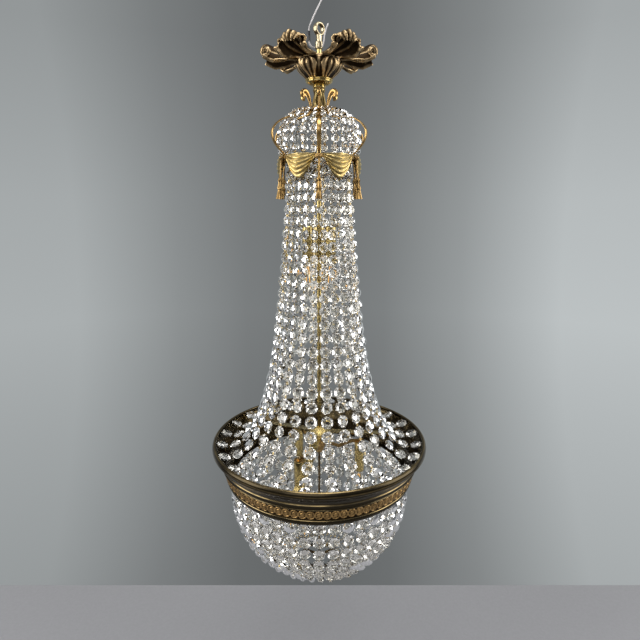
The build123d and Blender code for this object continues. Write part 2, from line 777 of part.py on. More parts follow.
# The bowl's strands drop from the ring's flange and round in to the gathering ring.
bowl_sweep = degrees(acos(gather_radius / bowl_radius))
with BuildLine(Plane.XZ) as bowl_line:
    Line((bowl_radius, ring_foot - bead_gap / 2), (bowl_radius, bowl_centre))
    CenterArc((0, bowl_centre), bowl_radius, 0, -bowl_sweep)

with BuildPart() as bowl_strands:
    with PolarLocations(0, bowl_count, start_angle=FRONT):
        add(strand(bowl_line.wire(), bowl_pitch, bowl_count))
bowl_strands.part.label = "bowl_strands"

# ---- supply wires: two stiff single cores out of the eye's socket, one with a black sleeve --------

long_route = [
    (-8.4, 0.0, -34.0),
    (-14.0, -1.0, -33.0),
    (-20.0, -2.0, -27.0),
    (-21.0, -3.0, -2.0),
    (-14.0, -3.0, 16.0),
    (-3.0, 0.0, 38.0),
    (9.0, 2.0, 60.0),
    (15.0, 4.0, 74.0),
]
short_route = [
    (6.6, -6.6, -34.0),
    (10.0, -9.0, -26.0),
    (11.0, -10.0, -8.0),
    (18.0, -9.0, 7.0),
]


def wire_radii(route):
    """Bend radii as large as the runs beside each corner allow."""
    radii = []
    for before, corner, after in zip(route, route[1:], route[2:]):
        first = Vector(*corner) - Vector(*before)
        second = Vector(*after) - Vector(*corner)
        half_turn = radians(first.get_angle(second)) / 2
        radii.append(0.45 * min(first.length, second.length) / sin(half_turn) * cos(half_turn))
    return radii


def wire(route):
    """A round core swept along straight runs and tangent arcs."""
    radii = wire_radii(route)
    print("wire bend radii", [round(radius, 1) for radius in radii])
    with BuildPart() as core:
        with BuildLine() as path:
            FilletPolyline(*route, radius=radii)
        with BuildSketch(Plane(origin=path.line @ 0, z_dir=path.line % 0)):
            RegularPolygon(wire_radius, 6)
        sweep()
    print("wire length", round(path.wire().length, 1))
    return core.part


with BuildPart() as supply_wire_long:
    add(wire(long_route))
supply_wire_long.part.label = "supply_wire_long"

sleeve_run = [Vector(*point) for point in long_route[2:4]]
sleeve_along = (sleeve_run[1] - sleeve_run[0]).normalized()
with BuildPart() as wire_sleeve:
    with BuildSketch(Plane(origin=sleeve_run[0] + sleeve_along * 5.0, z_dir=sleeve_along)):
        RegularPolygon(wire_sleeve_radius, 8)
        RegularPolygon(wire_radius + seat_gap, 8, mode=Mode.SUBTRACT)
    extrude(amount=wire_sleeve_length)
wire_sleeve.part.label = "wire_sleeve"

with BuildPart() as supply_wire_short:
    add(wire(short_route))
supply_wire_short.part.label = "supply_wire_short"

pieces = [
    hanging_loop, stem_tube, canopy_cup, canopy_leaves, canopy_collar, neck_baluster,
    crown_disc, arm_boss, crown_nut, crown_ring, crown_arms, drapery_swags, tassels,
    basket_ring, frieze_band, hub_dome, hub_disc, hub_cone, ring_straps, upper_lamp_plate,
    lower_lamp_arms, bottom_rod, bottom_ring, bottom_finial, skirt_strands, crown_strands,
    bowl_strands, supply_wire_long, supply_wire_short, wire_sleeve,
]
for piece in pieces:
    export_step(piece.part, f"parts/{piece.part.label}.step")
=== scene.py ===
"""Looks of a crystal basket chandelier: an antique brass hanging eye and leaf canopy, a crown with
drapery and tassels, strings of cut crystal, a bronze basket ring with a gilt frieze, candle lamps."""

import json
import bpy
import numpy as np
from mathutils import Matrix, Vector


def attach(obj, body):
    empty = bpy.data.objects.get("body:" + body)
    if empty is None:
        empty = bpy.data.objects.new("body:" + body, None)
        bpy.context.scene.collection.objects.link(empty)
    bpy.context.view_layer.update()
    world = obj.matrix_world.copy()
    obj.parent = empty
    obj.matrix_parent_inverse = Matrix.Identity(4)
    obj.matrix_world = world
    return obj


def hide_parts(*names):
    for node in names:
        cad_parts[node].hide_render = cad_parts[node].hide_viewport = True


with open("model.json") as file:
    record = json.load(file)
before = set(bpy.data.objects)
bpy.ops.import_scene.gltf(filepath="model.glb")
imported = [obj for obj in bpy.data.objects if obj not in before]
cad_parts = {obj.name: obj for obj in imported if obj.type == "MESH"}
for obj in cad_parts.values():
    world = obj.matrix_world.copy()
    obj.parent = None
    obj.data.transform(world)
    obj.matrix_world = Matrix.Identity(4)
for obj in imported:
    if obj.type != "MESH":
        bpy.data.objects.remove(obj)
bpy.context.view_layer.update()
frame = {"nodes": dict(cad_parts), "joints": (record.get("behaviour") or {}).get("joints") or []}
scene = bpy.context.scene

# ---- camera and room ----
# The camera stands a little above the middle of the hanging chandelier and tips down. Behind the
# chandelier is a plain grey wall, paler at both sides and darker high up and low down; the rest
# of the room is pale above and dark below, and four soft lights fill it.

camera = bpy.data.objects.new("camera", bpy.data.cameras.new("camera"))
camera.data.lens = 28.25
camera.data.sensor_width = 36.0
camera.data.clip_start = 0.01
camera.location = (0.0019, -1.1024, -0.3366)
camera.rotation_euler = (np.radians(76.89), 0.0, 0.0)
scene.collection.objects.link(camera)
scene.camera = camera

wall_sides, wall_ends = (-0.45, 0.45), (-0.62, 0.28)
floor_to_ceiling = (-1.0, 1.0)
wall_begins, wall_fills = 0.35, 0.60
wall_tones = (
    (0.02, 0.40), (0.20, 0.265), (0.34, 0.195), (0.50, 0.170), (0.64, 0.205), (0.80, 0.31), (0.98, 0.50),
)
wall_fall_off = ((0.0, 0.76), (0.28, 0.92), (0.46, 1.04), (0.70, 0.97), (1.0, 0.76))
room_tones = ((0.0, 0.03), (0.40, 0.05), (0.50, 0.17), (0.62, 0.14), (0.78, 0.36), (1.0, 0.46))
wall_tint, no_tint, room_tint = (0.97, 1.03, 1.045), (1.0, 1.0, 1.0), (1.0, 1.0, 1.02)
world = bpy.data.worlds.new("room")
scene.world = world
world.use_nodes = True
room = world.node_tree.nodes
room_links = world.node_tree.links


def tone_ramp(source, reach, tones, tint):
    """A ramp of tinted greys over a reach of one part of the direction that a ray looks in."""
    span = room.new("ShaderNodeMapRange")
    span.inputs["From Min"].default_value, span.inputs["From Max"].default_value = reach
    ramp = room.new("ShaderNodeValToRGB")
    while len(ramp.color_ramp.elements) < len(tones):
        ramp.color_ramp.elements.new(0.5)
    for stop, (at, tone) in zip(ramp.color_ramp.elements, tones):
        stop.position = at
        stop.color = (*(tone * share for share in tint), 1.0)
    room_links.new(source, span.inputs["Value"])
    room_links.new(span.outputs["Result"], ramp.inputs["Fac"])
    return ramp.outputs["Color"]


facing = room.new("ShaderNodeTexCoord")
looks = room.new("ShaderNodeSeparateXYZ")
room_links.new(facing.outputs["Generated"], looks.inputs["Vector"])
wall = tone_ramp(looks.outputs["X"], wall_sides, wall_tones, wall_tint)
fall_off = tone_ramp(looks.outputs["Z"], wall_ends, wall_fall_off, no_tint)
shaded_wall = room.new("ShaderNodeMix")
shaded_wall.data_type = "RGBA"
shaded_wall.blend_type = "MULTIPLY"
shaded_wall.inputs["Factor"].default_value = 1.0
room_links.new(wall, shaded_wall.inputs["A"])
room_links.new(fall_off, shaded_wall.inputs["B"])
around_it = tone_ramp(looks.outputs["Z"], floor_to_ceiling, room_tones, room_tint)
wall_ahead = room.new("ShaderNodeMapRange")
wall_ahead.inputs["From Min"].default_value = wall_begins
wall_ahead.inputs["From Max"].default_value = wall_fills
seen = room.new("ShaderNodeMix")
seen.data_type = "RGBA"
room_links.new(looks.outputs["Y"], wall_ahead.inputs["Value"])
room_links.new(wall_ahead.outputs["Result"], seen.inputs["Factor"])
room_links.new(around_it, seen.inputs["A"])
room_links.new(shaded_wall.outputs["Result"], seen.inputs["B"])
room_links.new(seen.outputs["Result"], room["Background"].inputs["Color"])

softboxes = (
    ("window_left", (-2.1, -0.6, 0.1), (1.5, 2.3), 52.0),
    ("window_right", (2.1, -0.3, 0.0), (1.4, 2.1), 44.0),
    ("soft_top", (0.1, -0.4, 1.3), (1.4, 1.1), 20.0),
    ("soft_front", (-0.6, -2.7, 0.4), (1.9, 1.4), 20.0),
)
lit_middle = Vector((0.0, 0.0, -0.6))
for name, place, size, power in softboxes:
    softbox = bpy.data.objects.new(name, bpy.data.lights.new(name, "AREA"))
    softbox.data.shape = "RECTANGLE"
    softbox.data.size, softbox.data.size_y = size
    softbox.data.energy = power
    softbox.location = place
    softbox.rotation_euler = (lit_middle - Vector(place)).to_track_quat("-Z", "Y").to_euler()
    scene.collection.objects.link(softbox)

# ---- supply wires ----
# Two stiff single cores come out of the eye's socket. The long one bends up round the eye, with a
# short black sleeve on it, and the short one ends beside the eye; both have white insulation. The
# real ends are bare and cut; here each ends in a flat cap of the white insulation.

wire_diameter = 0.0028
long_route = (
    (-0.0084, 0.0, -0.034), (-0.014, -0.001, -0.033), (-0.020, -0.002, -0.027), (-0.021, -0.003, -0.002),
    (-0.014, -0.003, 0.016), (-0.003, 0.0, 0.038), (0.009, 0.002, 0.060), (0.015, 0.004, 0.074),
)
short_route = (
    (0.0066, -0.0066, -0.034), (0.010, -0.009, -0.026), (0.011, -0.010, -0.008), (0.018, -0.009, 0.007),
)


def cord(name, route):
    """A round core along a smooth line that has the points of the route as its control points;
    the bevel is one metre deep, so each point's radius is the core's own."""
    line = bpy.data.curves.new(name, "CURVE")
    line.dimensions = "3D"
    line.bevel_depth = 1.0
    line.bevel_resolution = 4
    line.use_fill_caps = True
    spline = line.splines.new("NURBS")
    spline.points.add(len(route) - 1)
    spline.points.foreach_set("co", np.column_stack([route, np.ones(len(route))]).ravel())
    spline.points.foreach_set("radius", np.full(len(route), wire_diameter / 2))
    spline.order_u = 3
    spline.use_endpoint_u = True
    spline.resolution_u = 12
    piece = bpy.data.objects.new(name, line)
    scene.collection.objects.link(piece)
    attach(piece, "chandelier")
    return piece


def surface(name, grids, closed=False, capped=False, shade_and_patina=None, sharp=40.0):
    """A mesh of grids of points (copies, rows, columns, 3), a quad between neighbours. Rows run
    down or outwards and columns anticlockwise. Closed joins the last column to the first, capped
    puts one face on the first and last row, and the shade value from 0 to 1 is kept for the finish:
    painted shade with some patina where it is high, a painted highlight where it is low."""
    copies, rows, columns = grids.shape[:3]
    index = np.arange(copies * rows * columns).reshape(copies, rows, columns)
    ring = np.concatenate([index, index[:, :, :1]], axis=2) if closed else index
    quads = np.stack([ring[:, :-1, :-1], ring[:, 1:, :-1], ring[:, 1:, 1:], ring[:, :-1, 1:]], axis=-1)
    faces = quads.reshape(-1, 4).tolist()
    if capped:
        faces += index[:, 0].tolist() + index[:, -1, ::-1].tolist()
    mesh = bpy.data.meshes.new(name)
    mesh.from_pydata(grids.reshape(-1, 3).tolist(), [], faces)
    mesh.update()
    mesh.shade_smooth()
    mesh.set_sharp_from_angle(angle=np.radians(sharp))
    if shade_and_patina is not None:
        depth = mesh.attributes.new("shade_and_patina", "FLOAT", "POINT")
        depth.data.foreach_set("value", np.broadcast_to(shade_and_patina, grids.shape[:3]).ravel().astype(np.float32))
    piece = bpy.data.objects.new(name, mesh)
    scene.collection.objects.link(piece)
    return piece


def around(grid, count, start):
    """Copies of a grid drawn with X outwards, turned about Z by equal steps: the first stands at
    the front, or start degrees past it."""
    turn = np.radians(-90.0 + start + 360.0 * np.arange(count) / count).reshape(count, 1, 1)
    x, y, z = grid[None, ..., 0], grid[None, ..., 1], grid[None, ..., 2]
    return np.stack([
        x * np.cos(turn) - y * np.sin(turn),
        x * np.sin(turn) + y * np.cos(turn),
        z + 0 * turn,
    ], axis=-1)


def smooth_line(points, steps):
    """A smooth line through all the points: between p1 and p2 it is half of 2 p1 + (p2 - p0) t +
    (2 p0 - 5 p1 + 4 p2 - p3) t squared + (3 p1 - p0 - 3 p2 + p3) t cubed, for t from 0 to 1."""
    p = np.asarray(points, float)
    p = np.vstack([2 * p[0] - p[1], p, 2 * p[-1] - p[-2]])
    t = np.linspace(0.0, 1.0, steps, endpoint=False)[None, :, None]
    a, b, c, d = (p[k : len(p) - 3 + k, None] for k in range(4))
    line = 0.5 * (2 * b + (c - a) * t + (2 * a - 5 * b + 4 * c - d) * t**2 + (3 * b - a - 3 * c + d) * t**3)
    return np.vstack([line.reshape(-1, p.shape[1]), p[-2]])


def turned(name, profile, sides=48, centres=((0.0, 0.0),), capped=True, **finish):
    """A profile of (radius, height) from the top down, turned about the vertical through each of
    the centres."""
    profile = np.asarray(profile, float)
    angle = 2 * np.pi * np.arange(sides) / sides
    radius, level = profile[:, :1], np.repeat(profile[:, 1:], sides, axis=1)
    grids = np.stack([
        np.stack([x + radius * np.cos(angle), y + radius * np.sin(angle), level], axis=-1)
        for x, y in centres
    ])
    return surface(name, grids, closed=True, capped=capped, **finish)


def carried(path, section, side=(0.0, 1.0, 0.0)):
    """A section of (across, along side) points carried down a path: across is side x direction."""
    path, section = np.asarray(path, float), np.asarray(section, float)
    along = np.gradient(path, axis=0)
    along /= np.linalg.norm(along, axis=1, keepdims=True)
    side = np.broadcast_to(side, path.shape)
    across = np.cross(side, along)
    across /= np.linalg.norm(across, axis=1, keepdims=True)
    return path[:, None] + section[..., 0, None] * across[:, None] + section[..., 1, None] * side[:, None]


# old metal: bright where hands and cloths rub it and where a highlight is painted on edges and ridges, dark
# where shade is painted into recesses with some patina, and dark in soft patches of tarnish
patina = bpy.data.node_groups.new("old_metal", "ShaderNodeTree")
for socket, kind, value in (
    ("Bright", "NodeSocketColor", (0.6, 0.43, 0.18, 1.0)),
    ("Dark", "NodeSocketColor", (0.08, 0.05, 0.02, 1.0)),
    ("Age", "NodeSocketFloat", 0.3),
    ("Shade And Patina", "NodeSocketFloat", 0.0),
    ("Patch Size", "NodeSocketFloat", 60.0),
    ("Polish", "NodeSocketFloat", 0.22),
    ("Dullness", "NodeSocketFloat", 0.5),
):
    patina.interface.new_socket(socket, in_out="INPUT", socket_type=kind).default_value = value
for socket, kind in (
    ("Colour", "NodeSocketColor"), ("Roughness", "NodeSocketFloat"), ("Height", "NodeSocketFloat"),
):
    patina.interface.new_socket(socket, in_out="OUTPUT", socket_type=kind)
given = patina.nodes.new("NodeGroupInput")
result = patina.nodes.new("NodeGroupOutput")
place = patina.nodes.new("ShaderNodeTexCoord")
patches = patina.nodes.new("ShaderNodeTexNoise")
patches.inputs["Detail"].default_value = 5.0
patches.inputs["Roughness"].default_value = 0.62
pits = patina.nodes.new("ShaderNodeTexNoise")
pits.inputs["Scale"].default_value = 900.0
pits.inputs["Detail"].default_value = 3.0
spread = patina.nodes.new("ShaderNodeMapRange")
spread.inputs["From Min"].default_value = 0.38
spread.inputs["From Max"].default_value = 0.66
worn = patina.nodes.new("ShaderNodeMath")
worn.operation = "MULTIPLY"
tone = patina.nodes.new("ShaderNodeMath")
tone.operation = "ADD"
tone.use_clamp = True
blend = patina.nodes.new("ShaderNodeMix")
blend.data_type = "RGBA"
shine = patina.nodes.new("ShaderNodeMapRange")
join = patina.links.new
join(place.outputs["Object"], patches.inputs["Vector"])
join(place.outputs["Object"], pits.inputs["Vector"])
join(given.outputs["Patch Size"], patches.inputs["Scale"])
join(patches.outputs["Fac"], spread.inputs["Value"])
join(spread.outputs["Result"], worn.inputs[0])
join(given.outputs["Age"], worn.inputs[1])
join(worn.outputs["Value"], tone.inputs[0])
join(given.outputs["Shade And Patina"], tone.inputs[1])
join(tone.outputs["Value"], blend.inputs["Factor"])
join(given.outputs["Bright"], blend.inputs["A"])
join(given.outputs["Dark"], blend.inputs["B"])
join(tone.outputs["Value"], shine.inputs["Value"])
join(given.outputs["Polish"], shine.inputs["To Min"])
join(given.outputs["Dullness"], shine.inputs["To Max"])
join(blend.outputs["Result"], result.inputs["Colour"])
join(shine.outputs["Result"], result.inputs["Roughness"])
join(pits.outputs["Fac"], result.inputs["Height"])


def metal_finish(name, bright, dark, age=0.3, patch=60.0, polish=0.22, dullness=0.5, bump=0.06):
    """A material of old metal: the piece's shade attribute paints shade, with some patina, where it is high
    and leaves a painted highlight, with some wear, where it is low.
    """
    finish = bpy.data.materials.new(name)
    finish.use_nodes = True
    nodes, links = finish.node_tree.nodes, finish.node_tree.links
    effect = nodes.new("ShaderNodeGroup")
    effect.node_tree = patina
    depth = nodes.new("ShaderNodeAttribute")
    depth.attribute_name = "shade_and_patina"
    relief = nodes.new("ShaderNodeBump")
    relief.inputs["Strength"].default_value = bump
    relief.inputs["Distance"].default_value = 0.0004
    for socket, value in (
        ("Bright", (*bright, 1.0)), ("Dark", (*dark, 1.0)), ("Age", age),
        ("Patch Size", patch), ("Polish", polish), ("Dullness", dullness),
    ):
        effect.inputs[socket].default_value = value
    skin = nodes["Principled BSDF"]
    skin.inputs["Metallic"].default_value = 1.0
    links.new(depth.outputs["Fac"], effect.inputs["Shade And Patina"])
    links.new(effect.outputs["Colour"], skin.inputs["Base Color"])
    links.new(effect.outputs["Roughness"], skin.inputs["Roughness"])
    links.new(effect.outputs["Height"], relief.inputs["Height"])
    links.new(relief.outputs["Normal"], skin.inputs["Normal"])
    return finish


def dressed(piece, finish, slot, *nodes, body="chandelier"):
    """Gives a new piece its material, its body and the nodes it stands for; the slot is not used."""
    piece.data.materials.append(finish)
    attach(piece, body)
    if nodes:
        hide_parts(*nodes)


def plastic_finish(name, colour, roughness):
    """Moulded or extruded plastic whose tone wavers between its colour and a little less."""
    finish = bpy.data.materials.new(name)
    finish.use_nodes = True
    nodes, links = finish.node_tree.nodes, finish.node_tree.links
    place = nodes.new("ShaderNodeTexCoord")
    waver = nodes.new("ShaderNodeTexNoise")
    waver.inputs["Scale"].default_value = 140.0
    tone = nodes.new("ShaderNodeMix")
    tone.data_type = "RGBA"
    tone.inputs["A"].default_value = (*(0.86 * part for part in colour), 1.0)
    tone.inputs["B"].default_value = (*colour, 1.0)
    links.new(place.outputs["Object"], waver.inputs["Vector"])
    links.new(waver.outputs["Fac"], tone.inputs["Factor"])
    links.new(tone.outputs["Result"], nodes["Principled BSDF"].inputs["Base Color"])
    nodes["Principled BSDF"].inputs["Roughness"].default_value = roughness
    return finish


white_insulation = plastic_finish("white_insulation", (0.62, 0.59, 0.58), roughness=0.35)
long_wire = cord("long_wire", long_route)
short_wire = cord("short_wire", short_route)
long_wire.data.materials.append(white_insulation)
short_wire.data.materials.append(white_insulation)
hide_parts("supply_wire_long")
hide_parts("supply_wire_short")

black_sleeving = plastic_finish("black_sleeving", (0.012, 0.012, 0.013), roughness=0.22)
sleeve_radius = 0.0031
sleeve_start, sleeve_end = 0.20, 0.88
below, above = np.array(long_route[2]), np.array(long_route[3])
sleeve_line = below + np.linspace(sleeve_end, sleeve_start, 6)[:, None] * (above - below)
sleeve_angle = 2 * np.pi * np.arange(16) / 16
sleeve_ring = sleeve_radius * np.stack([np.cos(sleeve_angle), np.sin(sleeve_angle)], axis=-1)
wire_sleeve = surface("black_wire_sleeve", carried(sleeve_line, sleeve_ring)[None], closed=True, capped=True)
dressed(wire_sleeve, black_sleeving, "black_sleeve", "wire_sleeve")

# ---- hanging eye and stem ----
# A flat band of brass bent to an eye and turned half away from the front, tapering through a
# soft-cornered neck into the socket that is screwed on the stem, a drawn lamp tube.

pale_brass = metal_finish("pale_brass", (0.50, 0.42, 0.27), (0.10, 0.07, 0.035),
                          age=0.60, patch=90.0, polish=0.24, dullness=0.45)
yellow_brass = metal_finish("yellow_brass", (0.66, 0.51, 0.21), (0.10, 0.07, 0.025),
                            age=0.55, patch=80.0, polish=0.14, dullness=0.42)
eye_radius, eye_width, eye_thickness = 0.0105, 0.0098, 0.0038
eye_turn = np.radians(45.0)
eye_side = np.array([np.sin(eye_turn), -np.cos(eye_turn), 0.0])
eye_out = np.array([np.cos(eye_turn), np.sin(eye_turn), 0.0])


def band_section(width, thickness, points=20, power=4.0):
    """A flat section with soft corners, across then along side: the shares of the half thickness
    and of the half width, each to this power, always add up to one."""
    angle = 2 * np.pi * np.arange(points) / points
    c, s = np.cos(angle), np.sin(angle)
    return np.stack([
        thickness / 2 * np.sign(c) * np.abs(c) ** (2 / power),
        width / 2 * np.sign(s) * np.abs(s) ** (2 / power),
    ], axis=-1)


eye_angle = np.radians(np.linspace(-90.0, 270.0, 49))[:, None]
eye_path = eye_radius * (np.cos(eye_angle) * eye_out + np.sin(eye_angle) * np.array([0.0, 0.0, 1.0]))
eye_band = carried(eye_path, band_section(eye_width, eye_thickness), side=eye_side)
eye = surface("eye_band", eye_band[None, ::-1], closed=True)
dressed(eye, pale_brass, "brass", "hanging_loop")

neck_rows = 8
neck_path = np.linspace((0.0, 0.0, -0.0112), (0.0, 0.0, -0.0250), neck_rows)
neck_size = np.linspace((0.0118, 0.0085), (0.0090, 0.0095), neck_rows)
neck_blade = carried(neck_path, band_section(1.0, 1.0) * neck_size[:, None], side=eye_side)
dressed(surface("eye_neck", neck_blade[None], closed=True, capped=True), pale_brass, "brass")
socket_profile = (
    (0.0055, -0.0232), (0.0076, -0.0240), (0.0079, -0.0262), (0.0079, -0.0352), (0.0074, -0.0364),
)
dressed(turned("eye_socket", socket_profile), pale_brass, "brass")
stem_radius = 0.005
stem = turned("stem", [(stem_radius, level) for level in (-0.0366, -0.30, -0.60, -0.8709)])
dressed(stem, yellow_brass, "brass", "stem_tube")

# ---- ceiling cup ----
# Six cast palmettes side by side make an open cup on the stem: a round ridge edges each, with ribs
# inside it, a dart stands between neighbours and a lip runs round the rim.

old_bronze = metal_finish("old_bronze", (0.62, 0.44, 0.23), (0.022, 0.013, 0.006),
                          age=0.40, patch=55.0, polish=0.24, dullness=0.50, bump=0.12)
dark_bronze = metal_finish("dark_bronze", (0.17, 0.115, 0.052), (0.018, 0.011, 0.006),
                           age=0.6, patch=45.0, polish=0.20, dullness=0.50, bump=0.1)
repeats = 6
step = 360.0 / repeats
cup_top, cup_floor = -0.055, -0.092
cup_radius, cup_relief = 0.0480, 0.0030
cup_bowl = ((0.0, 0.90), (0.16, 1.0), (0.42, 0.985), (0.66, 0.87), (0.86, 0.68), (1.0, 0.56))
cup_inside = 0.88


def cup_lobes(rows=60, lobe_columns=60):
    """Radius is a bowl profile times a crown across each lobe plus a relief. With a across a lobe
    from -1 to 1 and d down it from 0 to 1, the relief is the highest of a ridge along a round arch
    that narrows to the foot, ribs by a cosine of a inside it, a dart where a is 1, and a lip."""
    d = np.linspace(0.0, 1.0, rows)[:, None]
    angle = np.radians(np.arange(repeats * lobe_columns) * step / lobe_columns)[None]
    a = ((np.degrees(angle) + step / 2) % step - step / 2) / (step / 2)
    bowl = smooth_line(cup_bowl, 12)
    profile = cup_radius * np.interp(d, bowl[:, 0], bowl[:, 1])
    arch = 0.80 * np.sqrt(np.clip(1.0 - ((0.5 - d) / 0.36) ** 2, 0.0, 1.0))
    side = np.where(d < 0.5, arch, 0.80 - 0.30 * (d - 0.5) / 0.5)
    inside = side - np.abs(a)
    ridge = np.exp(-((inside - 0.06) / 0.07) ** 2) * (side > 0.05)
    ribs = np.where(inside > 0.1, 0.5 + 0.5 * np.cos(2.6 * np.pi * a / np.clip(side, 0.2, 1.0)), 0.0)
    dart = np.exp(-((1.0 - np.abs(a)) / (0.17 * (1.15 - d))) ** 2)
    dart = dart * np.clip(1.3 - 1.3 * d, 0.0, 1.0) * np.clip(d / 0.12, 0.0, 1.0)
    lip = np.exp(-((d - 0.03) / 0.05) ** 2)
    relief = np.maximum.reduce([ridge, 0.70 * ribs, 0.95 * dart, lip + 0 * a])
    crown = 0.93 + 0.05 * np.sqrt(1.02 - a**2)
    radius = profile * crown + cup_relief * (relief - 0.35) * (1.0 - 0.4 * d)
    height = cup_top + (cup_floor - cup_top) * d + 0 * a
    # Painted shade, with some patina, in the recesses between ridge, ribs, dart and lip; the raised relief
    # is left bright as a painted highlight, with some wear.
    shade_and_patina = np.clip(0.92 - 1.15 * relief, 0.0, 1.0)
    return np.stack([radius * np.cos(angle), radius * np.sin(angle), height], axis=-1), shade_and_patina


lobes, lobe_shade = cup_lobes()
inner = lobes[: len(lobes) // 2][::-1].copy()
inner[..., :2] *= cup_inside
cup_grid = np.concatenate([inner, lobes])[None]
# The cup's inside is painted fully in shade; the outside follows its relief.
cup_shade = np.concatenate([np.ones(inner.shape[:2]), lobe_shade])[None]
cup = surface("palmette_cup", cup_grid, closed=True, shade_and_patina=cup_shade, sharp=60.0)
dressed(cup, old_bronze, "dark_bronze", "canopy_cup")
bed_profile = ((0.0385, -0.0742), (0.036, -0.0748), (0.012, -0.0752))
dressed(turned("cup_bed", bed_profile), dark_bronze, "dark_bronze")

# ---- ceiling leaves ----
# Six cast acanthus leaves stand on the cup's rim: their sides hang to a scalloped brim, and their
# fluted tips roll over. Their hollows carry painted shade, nearly black, with some patina; brims,
# ribs and tips carry painted highlights and are rubbed bright too.

leaf_line = (
    (0.0385, -0.0560), (0.0440, -0.0520), (0.0540, -0.0475), (0.0680, -0.0430), (0.0820, -0.0388),
    (0.0940, -0.0345), (0.1030, -0.0312), (0.1095, -0.0322), (0.1133, -0.0368), (0.1136, -0.0422),
    (0.1112, -0.0458),
)
leaf_width = (
    (0.0, 0.45), (0.1, 0.65), (0.2, 0.90), (0.3, 1.08), (0.4, 1.16), (0.6, 1.12), (0.8, 0.98),
    (0.9, 0.82), (1.0, 0.55),
)
leaf_hang = (
    (0.0, 0.0), (0.1, 0.0050), (0.2, 0.0130), (0.3, 0.0220), (0.4, 0.0280), (0.6, 0.0260),
    (0.8, 0.0140), (1.0, 0.0040),
)
leaf_half_width, leaf_wall = 0.031, 0.0028
brim_start, hang_end, tip_start = 0.70, 0.74, 0.56
flute_depth, lobe_depth = 0.0024, 0.0022


def acanthus(rows=72, columns=65):
    """Along the smooth centre line by u and across it from -1 to 1: the sides hang by the square of
    across and end in a brim whose lobes are a rounded sine of u; the flutes are a cosine of across
    that grows with u and also pushes the rolled tip in and out."""
    centre = smooth_line(leaf_line, 10)
    share = np.linspace(0.0, 1.0, len(centre))
    take = np.linspace(0.0, 1.0, rows)
    reach, level = np.interp(take, share, centre[:, 0]), np.interp(take, share, centre[:, 1])
    centre = np.stack([reach, np.zeros(rows), level], axis=-1)
    along = np.gradient(centre, axis=0)
    along /= np.linalg.norm(along, axis=1, keepdims=True)
    up = np.stack([-along[:, 2], np.zeros(rows), along[:, 0]], axis=-1)
    across = np.linspace(-1.0, 1.0, columns)[None]
    u = take[:, None]
    width = np.interp(take, *np.transpose(leaf_width))[:, None] * leaf_half_width
    hang = np.interp(take, *np.transpose(leaf_hang))[:, None]
    lobe = np.abs(np.sin(4.5 * np.pi * (u - 0.25 * (1.0 - np.abs(across))))) ** 0.7
    brim = np.clip((np.abs(across) - brim_start) / (1.0 - brim_start), 0.0, 1.0)
    tip = np.clip((u - tip_start) / 0.16, 0.0, 1.0)
    flutes = np.cos(7.0 * np.pi * across * (1.0 - 0.10 * u)) * (1.0 - 0.6 * brim)
    drop = hang * (np.minimum(np.abs(across), hang_end) / hang_end) ** 2
    lift = flute_depth * flutes * (0.35 + u) - drop + lobe_depth * brim * (lobe - 0.3)
    push = lobe_depth * tip * flutes
    grid = centre[:, None] + lift[..., None] * up[:, None] + push[..., None] * along[:, None]
    grid[..., 1] += across * width * (1.0 - 0.13 * brim * (1.0 - lobe))
    # Painted highlights, with some wear, on the brim's lobes and on the flutes of the rolled tip; painted
    # shade, with some patina, over the rest of the leaf, a little lighter on the ribs.
    wear_and_highlight = np.maximum(np.clip(2.2 * brim, 0.0, 1.0) * (0.30 + 0.60 * lobe), tip * (0.10 + 0.62 * flutes))
    ribs = np.clip(-flutes, 0.0, 1.0) ** 1.5
    shade_and_patina = np.clip(1.0 - 0.55 * ribs - 1.05 * wear_and_highlight, 0.0, 1.0)
    return grid, shade_and_patina


leaf, leaf_shade = acanthus()
leaf_copies = around(leaf[:, ::-1], repeats, step / 2)
leaves = surface("acanthus_leaves", leaf_copies, shade_and_patina=leaf_shade[:, ::-1], sharp=70.0)
casting = leaves.modifiers.new("casting_wall", "SOLIDIFY")
casting.thickness = leaf_wall
casting.offset = 0.0
dressed(leaves, old_bronze, "dark_bronze", "canopy_leaves")

# ---- collar and neck ----
# A spun collar with two polished rings carries the cup, and under it a fluted cast neck.

collar_profile = smooth_line((
    (0.0262, -0.0915), (0.0282, -0.0932), (0.0286, -0.0950), (0.0266, -0.0962), (0.0272, -0.0978),
    (0.0262, -0.0996), (0.0228, -0.1016), (0.0180, -0.1040), (0.0128, -0.1058), (0.0132, -0.1076),
    (0.0124, -0.1092), (0.0112, -0.1104),
), 6)
collar = turned("spun_collar", collar_profile, sides=64, sharp=50.0)
dressed(collar, yellow_brass, "brass", "canopy_collar")
neck_top, neck_length = -0.1098, 0.0392
neck_profile = (
    (0.0, 0.0105), (0.08, 0.0128), (0.16, 0.0118), (0.3, 0.0108), (0.6, 0.0132), (0.85, 0.0142),
    (1.0, 0.0118),
)
flute_share, flute_turn = 0.30, 0.9


